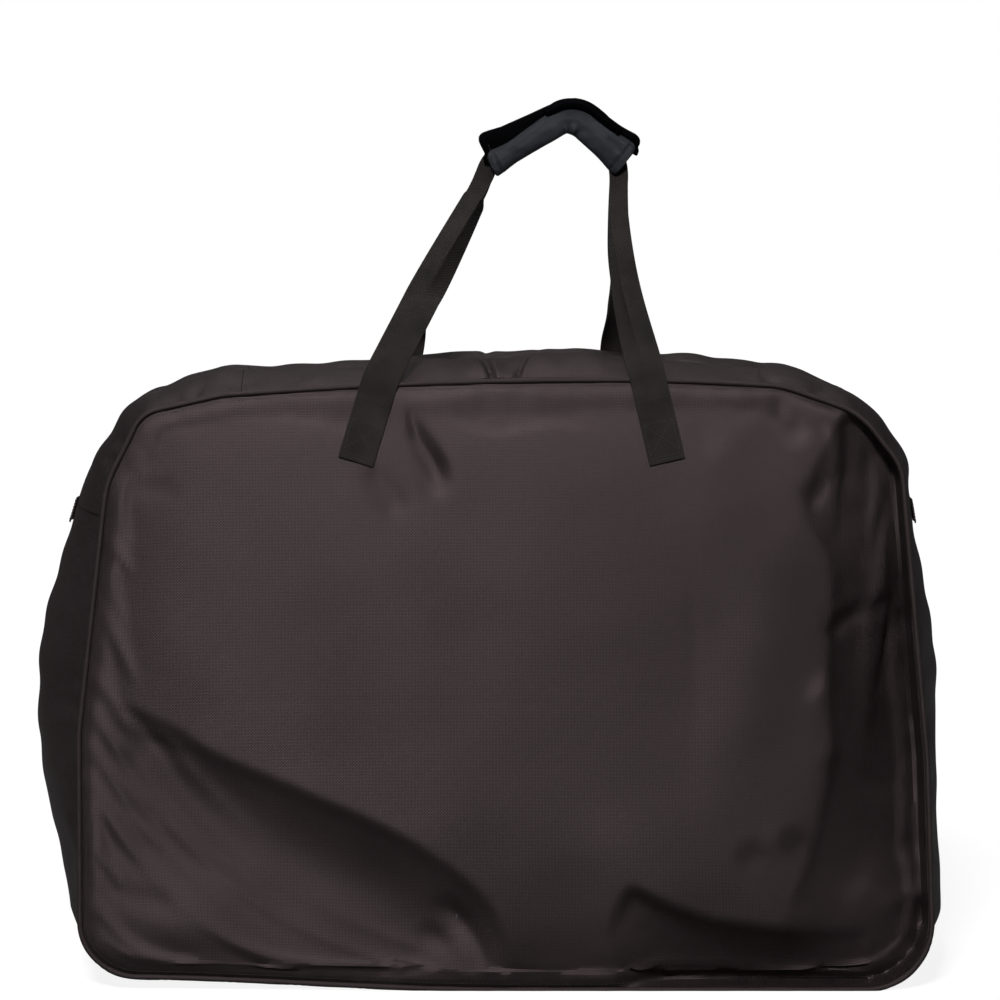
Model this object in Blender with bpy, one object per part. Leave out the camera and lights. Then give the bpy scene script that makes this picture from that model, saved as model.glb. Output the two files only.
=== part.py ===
"""Soft travel bag for a folding bicycle, with its zip, two webbing handles and padded grip wrap.

Metres, +Z up. The front panel faces -Y, and the origin lies on the floor under the bag's middle.
"""

import math
from collections import namedtuple

import bmesh
import bpy
from mathutils import Vector

# Body of the bag, seam to seam
SEAM_WIDTH = 0.896
SEAM_HEIGHT = 0.640
BASE_DEPTH = 0.250
TOP_DEPTH = 0.200

# How far the fabric swells out between its seams
PANEL_CROWN = 0.022
SIDE_CROWN = 0.016
LEFT_SWELL = 0.040
LEFT_SWELL_SPREAD = 0.165
RIGHT_SWELL = 0.024
RIGHT_SWELL_SPREAD = 0.115
SWELL_HEIGHT = 0.365
TOP_CROWN = 0.006
STRIP_CREST = 0.007

# Corners of the panel's outline, anticlockwise from the top left, and how round each is
OUTLINE_SHARES = (
    (-0.3125, 1.000),
    (-0.4107, 0.969),
    (-0.4510, 0.828),
    (-0.4844, 0.422),
    (-0.4844, 0.000),
    (0.5156, 0.000),
    (0.5067, 0.375),
    (0.4743, 0.867),
    (0.4297, 0.9656),
    (0.3348, 1.000),
)
SHOULDER_RADIUS = 0.080
LEFT_CORNER_RADIUS = 0.034
RIGHT_CORNER_RADIUS = 0.060
SIDE_RADIUS = 0.150
LEFT_FOOT_RADIUS = 0.060
RIGHT_FOOT_RADIUS = 0.070
OUTLINE_RADII = (
    SHOULDER_RADIUS,
    LEFT_CORNER_RADIUS,
    SIDE_RADIUS,
    SIDE_RADIUS,
    LEFT_FOOT_RADIUS,
    RIGHT_FOOT_RADIUS,
    SIDE_RADIUS,
    SHOULDER_RADIUS,
    RIGHT_CORNER_RADIUS,
    SHOULDER_RADIUS,
)
PANEL_CENTRE_SHARES = (0.014, 0.500)

# Fabric layers, and the clearance that pieces keep from each other
OUTER_THICKNESS = 0.0015
FOAM_THICKNESS = 0.0040
LINING_THICKNESS = 0.0010
GAP = 0.0003
END_GAP = 0.0003

# Seams
PIPING_RADIUS = 0.0030
BINDING_WIDTH = 0.0100
BINDING_THICKNESS = 0.0012
BINDING_EASE = 0.0008

# Where the gusset's pieces meet
FOOT_SEAM_HEIGHT = 0.085
ZIP_END_HEIGHT = 0.500
MOUTH_LEFT = 0.262
MOUTH_RIGHT = 0.280

# Zip
ZIP_REVEAL = 0.0090
TAPE_WIDTH = 0.0160
TAPE_THICKNESS = 0.0008
TAPE_SPLIT = 0.0006
COIL_WIDTH = 0.0034
COIL_HEIGHT = 0.0024
END_TAB_LENGTH = 0.026
END_TAB_WIDTH = 0.034
END_TAB_EASE = 0.0006

# Zip sliders and their pulls
SLIDER_LENGTH = 0.0150
SLIDER_PLATE = 0.0012
SLIDER_FLANGE = 0.0020
SLIDER_POST = 0.0006
SLIDER_REST = 0.0140
BRIDGE_LENGTH = 0.0120
BRIDGE_WIDTH = 0.0024
BRIDGE_WALL = 0.0010
BRIDGE_RISE = 0.0026
PULL_LENGTH = 0.0280
PULL_WIDTH = 0.0070
PULL_THICKNESS = 0.0012
PULL_BAR = 0.0013
PULL_CLEARANCE = 0.0004

# Handles
WEBBING_WIDTH = 0.038
WEBBING_THICKNESS = 0.0020
FOLDED_WIDTH = 0.020
FOLDED_THICKNESS = 0.0040
HANDLE_STANDOFF = 0.0055
HANDLE_RISE = 0.278
HANDLE_SPREAD = 0.286
HANDLE_LEFT = 0.1165
REAR_LEFT_INSET = 0.0165
REAR_RIGHT_INSET = 0.0315
STRAP_SPLIT = 0.0005
GRIP_BEND_RADIUS = 0.012
APEX_RADIUS = 0.022
TAPER_START_SHARE = 0.25

# The handle's grip, as shares of the spread from its left foot and of its rise
LEAN_LEFT_SHARES = (0.381, 0.7626)
WRAP_LEFT_SHARES = (0.400, 0.813)
APEX_SHARES = (0.7056, 1.0)
WRAP_RIGHT_SHARES = (0.889, 0.824)
LEAN_RIGHT_SHARES = (0.8986, 0.7626)

# The sewn ends of the webbing
ANCHOR_LENGTH = 0.084
ANCHOR_LEFT_SPLAY = 0.025
ANCHOR_RIGHT_SPLAY = 0.0125
ANCHOR_STEPS = 6
HINGE_CLEARANCE = 0.0002

# Padded wrap on the grip
WRAP_COVER = 0.0015
WRAP_FOAM = 0.0050
WRAP_END_HEIGHT = 0.044
WRAP_APEX_HEIGHT = 0.035
WRAP_REAR = 0.0065
WRAP_LIP_TOP = 0.0108
WRAP_TAB = 0.0025
HOOK_THICKNESS = 0.0012
HOOK_MARGIN = 0.0020
HOOK_LIP_MARGIN = 0.0010
TAB_END_MARGIN = 0.0020
TAB_APEX_MARGIN = 0.0120

# Smoothness of the model
ARC_STEP = math.radians(15)
RUN_STEP = 0.085
PANEL_RING_SHARES = (1.0, 0.935, 0.80, 0.50)
SHARP_ANGLE = math.radians(35)
LINING_DEPTH = OUTER_THICKNESS + GAP + FOAM_THICKNESS + GAP
STRIP_LINING_DEPTH = OUTER_THICKNESS + GAP + TAPE_THICKNESS + GAP
TAPE_DEPTH = OUTER_THICKNESS + GAP
GRIP_HALF_DEPTH = STRAP_SPLIT + FOLDED_THICKNESS

Sample = namedtuple("Sample", "x z nx nz")
Finish = namedtuple("Finish", "name colour roughness metallic")

FABRIC = Finish("shell_fabric", (0.036, 0.031, 0.031), 0.72, 0.0)
FOAM = Finish("foam", (0.45, 0.45, 0.43), 0.95, 0.0)
LINING = Finish("lining_fabric", (0.050, 0.050, 0.055), 0.80, 0.0)
PIPING = Finish("piping_fabric", (0.045, 0.040, 0.040), 0.65, 0.0)
BINDING = Finish("binding_tape", (0.020, 0.020, 0.021), 0.85, 0.0)
WEBBING = Finish("webbing", (0.026, 0.023, 0.021), 0.78, 0.0)
WRAP_FABRIC = Finish("wrap_fabric", (0.015, 0.017, 0.022), 0.60, 0.0)
ZIP_TAPE = Finish("zip_tape", (0.018, 0.018, 0.019), 0.85, 0.0)
ZIP_COIL = Finish("zip_coil", (0.025, 0.025, 0.027), 0.40, 0.0)
ZIP_METAL = Finish("zip_metal", (0.10, 0.10, 0.105), 0.35, 1.0)
HOOK_LOOP = Finish("hook_and_loop", (0.012, 0.012, 0.013), 0.95, 0.0)


def clear_scene():
    for obj in list(bpy.data.objects):
        bpy.data.objects.remove(obj, do_unlink=True)


def material(finish):
    found = bpy.data.materials.get(finish.name)
    if found:
        return found
    made = bpy.data.materials.new(finish.name)
    made.use_nodes = True
    shader = made.node_tree.nodes["Principled BSDF"]
    shader.inputs["Base Color"].default_value = (*finish.colour, 1.0)
    shader.inputs["Roughness"].default_value = finish.roughness
    shader.inputs["Metallic"].default_value = finish.metallic
    return made


def pivot(name, place, parent=None):
    """An empty on a joint's axis, which carries the pieces that turn or slide with it."""
    empty = bpy.data.objects.new(name, None)
    bpy.context.scene.collection.objects.link(empty)
    empty.location = place - (parent.matrix_world.translation if parent else Vector())
    empty.parent = parent
    bpy.context.view_layer.update()
    return empty


def add_object(name, bm, finish, carrier=None):
    """Links the mesh as an object. Its points are in world places, moved to the carrier's."""
    bmesh.ops.recalc_face_normals(bm, faces=bm.faces)
    mesh = bpy.data.meshes.new(name)
    if carrier:
        bmesh.ops.translate(bm, verts=bm.verts, vec=-carrier.matrix_world.translation)
    bm.to_mesh(mesh)
    bm.free()
    mesh.shade_smooth()
    mesh.set_sharp_from_angle(angle=SHARP_ANGLE)
    mesh.materials.append(material(finish))
    obj = bpy.data.objects.new(name, mesh)
    bpy.context.scene.collection.objects.link(obj)
    obj.parent = carrier
    return obj


def slab(name, upper, lower, finish, carrier=None):
    """A closed sheet between two grids of points, which have the same rows and columns."""
    bm = bmesh.new()
    top = [[bm.verts.new(point) for point in row] for row in upper]
    bottom = [[bm.verts.new(point) for point in row] for row in lower]
    rows = len(top)
    columns = len(top[0])
    for i in range(rows - 1):
        for j in range(columns - 1):
            bm.faces.new((top[i][j], top[i + 1][j], top[i + 1][j + 1], top[i][j + 1]))
            bm.faces.new((bottom[i][j], bottom[i][j + 1], bottom[i + 1][j + 1], bottom[i + 1][j]))
    border = [(i, 0) for i in range(rows - 1)]
    border += [(rows - 1, j) for j in range(columns - 1)]
    border += [(i, columns - 1) for i in range(rows - 1, 0, -1)]
    border += [(0, j) for j in range(columns - 1, 0, -1)]
    for (i, j), (k, m) in zip(border, border[1:] + border[:1]):
        bm.faces.new((top[i][j], bottom[i][j], bottom[k][m], top[k][m]))
    return add_object(name, bm, finish, carrier)


def loft(name, sections, finish, carrier=None):
    """A closed solid through a row of sections with the same number of points."""
    bm = bmesh.new()
    loops = [[bm.verts.new(point) for point in section] for section in sections]
    for near, far in zip(loops, loops[1:]):
        for k in range(len(near)):
            m = (k + 1) % len(near)
            bm.faces.new((near[k], near[m], far[m], far[k]))
    bm.faces.new(loops[0])
    bm.faces.new(loops[-1])
    return add_object(name, bm, finish, carrier)


def block(name, low, high, finish, carrier=None):
    """A box between two corners, in world places."""
    bm = bmesh.new()
    bmesh.ops.create_cube(bm, size=1.0)
    size = high - low
    bmesh.ops.scale(bm, verts=bm.verts, vec=size)
    bmesh.ops.translate(bm, verts=bm.verts, vec=(low + high) / 2)
    return add_object(name, bm, finish, carrier)


def combine(obj, other, operation):
    """Joins the other solid to the object, or cuts it out, and hides the other."""
    boolean = obj.modifiers.new(operation.title(), "BOOLEAN")
    boolean.operation = operation
    boolean.object = other
    other.hide_render = True
    other.display_type = "WIRE"


def unit(x, z):
    length = math.hypot(x, z)
    return x / length, z / length


def rounded(corners, radii, closed):
    """Samples along a line with rounded corners. Each has its place and the normal on its right."""
    count = len(corners)
    arcs = []
    for i, (x, z) in enumerate(corners):
        before = corners[i - 1] if closed or i else None
        after = corners[(i + 1) % count] if closed or i < count - 1 else None
        if before is None or after is None or radii[i] <= 0:
            ahead = after or (2 * x - before[0], 2 * z - before[1])
            dx, dz = unit(ahead[0] - x, ahead[1] - z)
            arcs.append([Sample(x, z, dz, -dx)])
            continue
        ux, uz = unit(x - before[0], z - before[1])
        vx, vz = unit(after[0] - x, after[1] - z)
        turn = math.atan2(ux * vz - uz * vx, ux * vx + uz * vz)
        way = math.copysign(1, turn)
        back = radii[i] * math.tan(abs(turn) / 2)
        hub_x = x - ux * back - way * radii[i] * uz
        hub_z = z - uz * back + way * radii[i] * ux
        steps = max(1, math.ceil(abs(turn) / ARC_STEP))
        arc = []
        for k in range(steps + 1):
            angle = turn * k / steps
            nx = uz * math.cos(angle) + ux * math.sin(angle)
            nz = -ux * math.cos(angle) + uz * math.sin(angle)
            arc.append(Sample(hub_x + way * radii[i] * nx, hub_z + way * radii[i] * nz, nx, nz))
        arcs.append(arc)
    samples = list(arcs[0])
    following = arcs[1:] + ([[arcs[0][0]]] if closed else [])
    for arc in following:
        last = samples[-1]
        run = math.hypot(arc[0].x - last.x, arc[0].z - last.z)
        dx, dz = unit(arc[0].x - last.x, arc[0].z - last.z)
        pieces = max(1, math.ceil(run / RUN_STEP))
        for k in range(1, pieces):
            along = run * k / pieces
            samples.append(Sample(last.x + dx * along, last.z + dz * along, dz, -dx))
        samples += arc
    return samples


class Track:
    """A sampled line, read by the length run along it. A closed one runs on past its end."""

    def __init__(self, samples):
        self.samples = samples
        self.runs = [0.0]
        for a, b in zip(samples, samples[1:]):
            self.runs.append(self.runs[-1] + math.hypot(b.x - a.x, b.z - a.z))
        self.length = self.runs[-1]

    def at(self, run):
        if run > self.length:
            run -= self.length
        for i in range(len(self.samples) - 1):
            if run <= self.runs[i + 1] or i == len(self.samples) - 2:
                break
        a = self.samples[i]
        b = self.samples[i + 1]
        share = (run - self.runs[i]) / (self.runs[i + 1] - self.runs[i])
        nx, nz = unit(a.nx + (b.nx - a.nx) * share, a.nz + (b.nz - a.nz) * share)
        return Sample(a.x + (b.x - a.x) * share, a.z + (b.z - a.z) * share, nx, nz)

    def between(self, start, end):
        """The samples from one run to another, with both ends."""
        if end < start:
            end += self.length
        nearest = END_GAP
        inner = []
        for lap in (0, self.length):
            for run, sample in zip(self.runs, self.samples):
                if start + nearest < run + lap < end - nearest:
                    if not inner or run + lap - inner[-1][0] > nearest:
                        inner.append((run + lap, sample))
        return [self.at(start)] + [sample for _, sample in inner] + [self.at(end)]

    def run_where(self, reading, value, wanted):
        """The first run at which the reading passes the value on a wanted sample."""
        for i in range(len(self.samples) - 1):
            a = reading(self.samples[i])
            b = reading(self.samples[i + 1])
            if wanted(self.samples[i]) and (a - value) * (b - value) <= 0 and a != b:
                return self.runs[i] + (self.runs[i + 1] - self.runs[i]) * (value - a) / (b - a)
        raise ValueError("the line never passes that value")


def depth_at(z):
    """The bag's depth from seam to seam at a height."""
    return BASE_DEPTH + (TOP_DEPTH - BASE_DEPTH) * z / SEAM_HEIGHT


def zip_share(sample, from_middle):
    """The share of the way from the front seam to the rear one, by distance from the middle."""
    return 0.5 + from_middle / depth_at(sample.z)


def seam_share(sample):
    return (PIPING_RADIUS + GAP) / depth_at(sample.z)


def swell_at(sample):
    """How far the gusset stands out halfway between its seams."""
    left = sample.nx < 0
    amount = LEFT_SWELL if left else RIGHT_SWELL
    spread = LEFT_SWELL_SPREAD if left else RIGHT_SWELL_SPREAD
    side = SIDE_CROWN + amount * math.exp(-(((sample.z - SWELL_HEIGHT) / spread) ** 2))
    crown = TOP_CROWN + (side - TOP_CROWN) * abs(sample.nx)
    return crown * (1 - max(-sample.nz, 0))


def crest_at(sample, share):
    """The padded strips on each side of the zip rise over it, most along the top."""
    across = min(share, 1 - share) / zip_share(sample, -TAPE_WIDTH)
    height_share = (sample.z - ZIP_END_HEIGHT) / (SEAM_HEIGHT - ZIP_END_HEIGHT)
    if across >= 1 or height_share <= 0:
        return 0.0
    return STRIP_CREST * height_share * math.sin(math.pi * across)


def skin(sample, share, depth):
    """A point on the gusset: share 0 is the front seam, 1 the rear one, and depth goes inwards."""
    reach = swell_at(sample) * math.sin(math.pi * share) + crest_at(sample, share) - depth
    y = (share - 0.5) * depth_at(sample.z)
    return Vector((sample.x + sample.nx * reach, y, sample.z + sample.nz * reach))


def outline(shift):
    corners = [(x * SEAM_WIDTH - shift, z * SEAM_HEIGHT) for x, z in OUTLINE_SHARES]
    return Track(rounded(corners, OUTLINE_RADII, closed=True))


def middle_of(track):
    places = [skin(sample, 0.5, 0).x for sample in track.samples]
    return (min(places) + max(places)) / 2


SHIFT = middle_of(outline(0))
EDGE = outline(SHIFT)


def on_left(sample):
    return sample.x < 0 and sample.nx < 0


def on_right(sample):
    return sample.x > 0 and sample.nx > 0


def on_top(sample):
    return sample.z > ZIP_END_HEIGHT and sample.nz > abs(sample.nx)


def height_of(sample):
    return sample.z


def across_of(sample):
    return sample.x


LEFT_ZIP_END = EDGE.run_where(height_of, ZIP_END_HEIGHT, on_left)
LEFT_FOOT = EDGE.run_where(height_of, FOOT_SEAM_HEIGHT, on_left)
RIGHT_FOOT = EDGE.run_where(height_of, FOOT_SEAM_HEIGHT, on_right)
RIGHT_ZIP_END = EDGE.run_where(height_of, ZIP_END_HEIGHT, on_right)
RIGHT_MOUTH = EDGE.run_where(across_of, MOUTH_RIGHT, on_top)
LEFT_MOUTH = EDGE.run_where(across_of, -MOUTH_LEFT, on_top)


def stations(sample, shares, columns):
    """The shares across at one sample: each stretch between two of them in so many columns."""
    places = [shares[0](sample)]
    for before, after, count in zip(shares, shares[1:], columns):
        start = before(sample)
        width = after(sample) - start
        places += [start + width * (j + 1) / count for j in range(count)]
    return places


def gusset(name, ends, shares, depths, columns, finish, carrier=None):
    """One layer of the gusset between two runs of the edge, with stations across it."""
    samples = EDGE.between(ends[0] + END_GAP, ends[1] - END_GAP)
    grids = []
    for depth in depths:
        grids.append([[skin(s, share, depth) for share in stations(s, shares, columns)] for s in samples])
    return slab(name, grids[0], grids[1], finish, carrier)


def front_edge(sample):
    return seam_share(sample)


def rear_edge(sample):
    return 1 - seam_share(sample)


def front_reveal(sample):
    return zip_share(sample, -ZIP_REVEAL)


def rear_reveal(sample):
    return zip_share(sample, ZIP_REVEAL)


def from_middle(distance):
    def share(sample):
        return zip_share(sample, distance)

    return share


FRONT_STRIP = (front_edge, from_middle(-TAPE_WIDTH), front_reveal)
REAR_STRIP = (rear_reveal, from_middle(TAPE_WIDTH), rear_edge)


def ray_span(sample):
    """How far the panel's centre lies inside the edge's tangent there."""
    cx, cz = panel_centre()
    return (sample.x - cx) * sample.nx + (sample.z - cz) * sample.nz


def panel_centre():
    return PANEL_CENTRE_SHARES[0] * SEAM_WIDTH - SHIFT, PANEL_CENTRE_SHARES[1] * SEAM_HEIGHT


def panel_rise(z, reach_share):
    """How far the panel's outside stands from the bag's middle plane."""
    return depth_at(z) / 2 + PANEL_CROWN * (1 - reach_share**3)


def panel_point(sample, side, inset, ring_share, depth):
    """A point of the panel on the ray from its centre to the edge. side is -1 at the front."""
    cx, cz = panel_centre()
    x = cx + (sample.x - sample.nx * inset - cx) * ring_share
    z = cz + (sample.z - sample.nz * inset - cz) * ring_share
    reach_share = ring_share * (1 - inset / ray_span(sample))
    return Vector((x, side * (panel_rise(z, reach_share) - depth), z))


def panel(name, side, inset, depths, ring_shares, finish):
    """One layer of the front or rear panel, closed over its middle."""
    samples = EDGE.samples[:-1]
    count = len(samples)
    bm = bmesh.new()
    rims = []
    for depth in depths:
        rings = []
        for ring_share in ring_shares:
            points = [panel_point(sample, side, inset, ring_share, depth) for sample in samples]
            rings.append([bm.verts.new(point) for point in points])
        hub = bm.verts.new(panel_point(samples[0], side, inset, 0, depth))
        for outer, inner in zip(rings, rings[1:]):
            for k in range(count):
                m = (k + 1) % count
                bm.faces.new((outer[k], outer[m], inner[m], inner[k]))
        for k in range(count):
            bm.faces.new((rings[-1][k], rings[-1][(k + 1) % count], hub))
        rims.append(rings[0])
    for k in range(count):
        m = (k + 1) % count
        bm.faces.new((rims[0][k], rims[1][k], rims[1][m], rims[0][m]))
    return add_object(name, bm, finish)


def seam_ring(name, side, insets, depths, finish):
    """A flat ring of tape that follows the panel inside its seam."""
    samples = EDGE.samples[:-1]
    count = len(samples)
    bm = bmesh.new()
    places = ((insets[0], depths[0]), (insets[1], depths[0]), (insets[1], depths[1]), (insets[0], depths[1]))
    rings = []
    for inset, depth in places:
        points = [panel_point(sample, side, inset, 1, depth) for sample in samples]
        rings.append([bm.verts.new(point) for point in points])
    for ring, following in zip(rings, rings[1:] + rings[:1]):
        for k in range(count):
            m = (k + 1) % count
            bm.faces.new((ring[k], ring[m], following[m], following[k]))
    return add_object(name, bm, finish)


def piping(name, side):
    """The round edge along a seam: a closed curve with a bevel."""
    curve = bpy.data.curves.new(name, "CURVE")
    curve.dimensions = "3D"
    curve.bevel_depth = PIPING_RADIUS
    curve.bevel_resolution = 1
    spline = curve.splines.new("POLY")
    samples = EDGE.samples[:-1]
    spline.points.add(len(samples) - 1)
    for point, sample in zip(spline.points, samples):
        point.co = (sample.x, side * depth_at(sample.z) / 2, sample.z, 1)
    spline.use_cyclic_u = True
    curve.materials.append(material(PIPING))
    obj = bpy.data.objects.new(name, curve)
    bpy.context.scene.collection.objects.link(obj)
    return obj


def build_panels():
    inner_inset = LINING_DEPTH + LINING_THICKNESS + GAP
    for name, side in (("front", -1), ("rear", 1)):
        outer = (0, OUTER_THICKNESS)
        foam = (OUTER_THICKNESS + GAP, OUTER_THICKNESS + GAP + FOAM_THICKNESS)
        lining = (LINING_DEPTH, LINING_DEPTH + LINING_THICKNESS)
        lain = lining[1] + BINDING_EASE
        binding = (lain, lain + BINDING_THICKNESS)
        panel(f"{name}_panel", side, PIPING_RADIUS + GAP, outer, PANEL_RING_SHARES, FABRIC)
        panel(f"{name}_panel_foam", side, inner_inset, foam, PANEL_RING_SHARES, FOAM)
        panel(f"{name}_panel_lining", side, inner_inset, lining, PANEL_RING_SHARES, LINING)
        insets = (inner_inset + GAP, inner_inset + GAP + BINDING_WIDTH)
        seam_ring(f"{name}_seam_binding", side, insets, binding, BINDING)
        piping(f"{name}_piping", side)


def build_gussets():
    """The sides and the base: outer fabric, foam and lining."""
    stretches = (
        ("left_gusset", (LEFT_ZIP_END, LEFT_FOOT), (6,)),
        ("base_gusset", (LEFT_FOOT, RIGHT_FOOT), (4,)),
        ("right_gusset", (RIGHT_FOOT, RIGHT_ZIP_END), (6,)),
    )
    edges = (front_edge, rear_edge)
    foam = (OUTER_THICKNESS + GAP, OUTER_THICKNESS + GAP + FOAM_THICKNESS)
    lining = (LINING_DEPTH, LINING_DEPTH + LINING_THICKNESS)
    for name, ends, columns in stretches:
        gusset(name, ends, edges, (0, OUTER_THICKNESS), columns, FABRIC)
        gusset(f"{name}_foam", ends, edges, foam, columns, FOAM)
        gusset(f"{name}_lining", ends, edges, lining, columns, LINING)


def strip_pair(name, ends, carriers, columns):
    """The padded strips in front of the zip and behind it, each with its lining."""
    lining = (STRIP_LINING_DEPTH, STRIP_LINING_DEPTH + LINING_THICKNESS)
    sides = (("front", FRONT_STRIP, (columns, 1)), ("rear", REAR_STRIP, (1, columns)))
    for (side, shares, counts), carrier in zip(sides, carriers):
        gusset(f"{name}_{side}_strip", ends, shares, (0, OUTER_THICKNESS), counts, FABRIC, carrier)
        gusset(f"{name}_{side}_strip_lining", ends, shares, lining, counts, LINING, carrier)


def closed_zip(name, ends):
    """A stretch of the zip beyond the mouth, where its two halves stay meshed."""
    low = TAPE_DEPTH + TAPE_THICKNESS
    chain = TAPE_SPLIT + COIL_WIDTH
    top = TAPE_DEPTH - GAP - COIL_HEIGHT
    under = [(y, low) for y in (-TAPE_WIDTH, -ZIP_REVEAL, ZIP_REVEAL, TAPE_WIDTH)]
    right = [(TAPE_WIDTH, TAPE_DEPTH), (ZIP_REVEAL, TAPE_DEPTH), (chain, TAPE_DEPTH), (chain, top)]
    profile = under + right + [(-y, depth) for y, depth in reversed(right)]
    sections = []
    for sample in EDGE.between(ends[0] + END_GAP, ends[1] - END_GAP):
        sections.append([skin(sample, zip_share(sample, y), depth) for y, depth in profile])
    return loft(name, sections, ZIP_TAPE)


def end_tab(name, run):
    """The fabric tab sewn over the zip's end."""
    over = TAPE_DEPTH - GAP - COIL_HEIGHT - GAP - END_TAB_EASE
    ends = (run - END_TAB_LENGTH / 2, run + END_TAB_LENGTH / 2)
    edges = (from_middle(-END_TAB_WIDTH / 2), from_middle(END_TAB_WIDTH / 2))
    gusset(name, ends, edges, (over - OUTER_THICKNESS, over), (2,), FABRIC)


def build_zip_band(front, rear):
    """The strips and the zip: the mouth's halves swing on the seams, the rest is fixed."""
    strip_pair("left", (LEFT_MOUTH, LEFT_ZIP_END), (None, None), 4)
    strip_pair("right", (RIGHT_ZIP_END, RIGHT_MOUTH), (None, None), 4)
    strip_pair("mouth", (RIGHT_MOUTH, LEFT_MOUTH), (front, rear), 5)
    closed_zip("zip_left_end", (LEFT_MOUTH, LEFT_ZIP_END))
    closed_zip("zip_right_end", (RIGHT_ZIP_END, RIGHT_MOUTH))
    end_tab("zip_end_tab_left", LEFT_ZIP_END)
    end_tab("zip_end_tab_right", RIGHT_ZIP_END)
    ends = (RIGHT_MOUTH, LEFT_MOUTH)
    tape = (TAPE_DEPTH, TAPE_DEPTH + TAPE_THICKNESS)
    coil = (TAPE_DEPTH - GAP - COIL_HEIGHT, TAPE_DEPTH - GAP)
    tape_edges = (from_middle(-TAPE_WIDTH), from_middle(-TAPE_SPLIT))
    coil_edges = (from_middle(-TAPE_SPLIT - COIL_WIDTH), from_middle(-TAPE_SPLIT))
    gusset("zip_tape_front", ends, tape_edges, tape, (1,), ZIP_TAPE, front)
    gusset("zip_coil_front", ends, coil_edges, coil, (1,), ZIP_COIL, front)
    tape_edges = (from_middle(TAPE_SPLIT), from_middle(TAPE_WIDTH))
    coil_edges = (from_middle(TAPE_SPLIT), from_middle(TAPE_SPLIT + COIL_WIDTH))
    gusset("zip_tape_rear", ends, tape_edges, tape, (1,), ZIP_TAPE, rear)
    gusset("zip_coil_rear", ends, coil_edges, coil, (1,), ZIP_COIL, rear)


def build_slider(name, way, strip):
    """A zip slider with its pull. way is -1 for the one that runs left."""
    x = way * SLIDER_REST
    zip_top = SEAM_HEIGHT + TOP_CROWN
    tape_top = zip_top - TAPE_DEPTH
    tape_low = tape_top - TAPE_THICKNESS
    roof = tape_top + GAP + COIL_HEIGHT + GAP
    inner = TAPE_SPLIT + COIL_WIDTH + GAP
    outer = inner + SLIDER_FLANGE
    half = (
        (outer, tape_low - GAP - SLIDER_PLATE),
        (outer, tape_low - GAP),
        (SLIDER_POST / 2, tape_low - GAP),
        (SLIDER_POST / 2, roof),
        (inner, roof),
        (inner, tape_top + GAP),
        (outer, tape_top + GAP),
        (outer, roof + SLIDER_PLATE),
    )
    profile = half + tuple((-y, z) for y, z in reversed(half))
    carrier = pivot(f"{name}_slide", Vector((x, 0, roof)), strip)
    sections = []
    for end in (-SLIDER_LENGTH / 2, SLIDER_LENGTH / 2):
        sections.append([Vector((x + end, y, z)) for y, z in profile])
    slider = loft(name, sections, ZIP_METAL, carrier)
    add_bridge(slider, x, roof + SLIDER_PLATE, carrier)
    bar_height = roof + SLIDER_PLATE + BRIDGE_RISE / 2
    hinge = pivot(f"{name}_pull_hinge", Vector((x, 0, bar_height)), carrier)
    build_pull(name.replace("slider", "pull"), x, bar_height, way, hinge)


def add_bridge(slider, x, base, carrier):
    """The bail on top of the slider that the pull hangs in, joined to it."""
    reach = BRIDGE_LENGTH / 2
    sunk = base - SLIDER_PLATE / 2
    top = base + BRIDGE_RISE
    profile = (
        (-reach, sunk),
        (-reach, top),
        (-reach + BRIDGE_WALL, top + BRIDGE_WALL),
        (reach - BRIDGE_WALL, top + BRIDGE_WALL),
        (reach, top),
        (reach, sunk),
        (reach - BRIDGE_WALL, sunk),
        (reach - BRIDGE_WALL, top),
        (-reach + BRIDGE_WALL, top),
        (-reach + BRIDGE_WALL, sunk),
    )
    sections = []
    for y in (-BRIDGE_WIDTH / 2, BRIDGE_WIDTH / 2):
        sections.append([Vector((x + dx, y, z)) for dx, z in profile])
    bridge = loft(f"{slider.name}_bridge_union", sections, ZIP_METAL, carrier)
    combine(slider, bridge, "UNION")


def build_pull(name, x, height, way, hinge):
    """A flat pull with a window: the bar at its end lies in the slider's bridge."""
    bar = PULL_BAR / 2
    thick = PULL_THICKNESS / 2
    half = PULL_WIDTH / 2
    ends = sorted((x - way * bar, x + way * (PULL_LENGTH - bar)))
    low = Vector((ends[0], -half, height - thick))
    high = Vector((ends[1], half, height + thick))
    pull = block(name, low, high, ZIP_METAL, hinge)
    clear_half = BRIDGE_WIDTH / 2 + PULL_CLEARANCE
    reach = BRIDGE_LENGTH / 2 + PULL_CLEARANCE * 2
    ends = sorted((x + way * bar, x + way * reach))
    low = Vector((ends[0], -clear_half, height - PULL_THICKNESS))
    high = Vector((ends[1], clear_half, height + PULL_THICKNESS))
    window = block(f"{name}_window_cutter", low, high, ZIP_METAL, hinge)
    combine(pull, window, "DIFFERENCE")


def grip_point(shares):
    return shares[0] * HANDLE_SPREAD - HANDLE_LEFT, SEAM_HEIGHT + shares[1] * HANDLE_RISE


def strap_offset():
    """How far the strap's middle lies from the bag's middle plane, at the hinge line's height."""
    return TOP_DEPTH / 2 + HANDLE_STANDOFF


def strap_lean():
    """How far the strap leans in for each metre that it rises."""
    grip_y = STRAP_SPLIT + FOLDED_THICKNESS / 2
    return (strap_offset() - grip_y) / (grip_point(LEAN_LEFT_SHARES)[1] - SEAM_HEIGHT)


def level_half():
    """Half the leaning strap's thickness, measured level."""
    return math.hypot(1, strap_lean()) * WEBBING_THICKNESS / 2


def hinge_offset():
    """How far the hinge lines lie from the bag's middle plane: each runs along a strap's outer face."""
    return strap_offset() + level_half()


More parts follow.
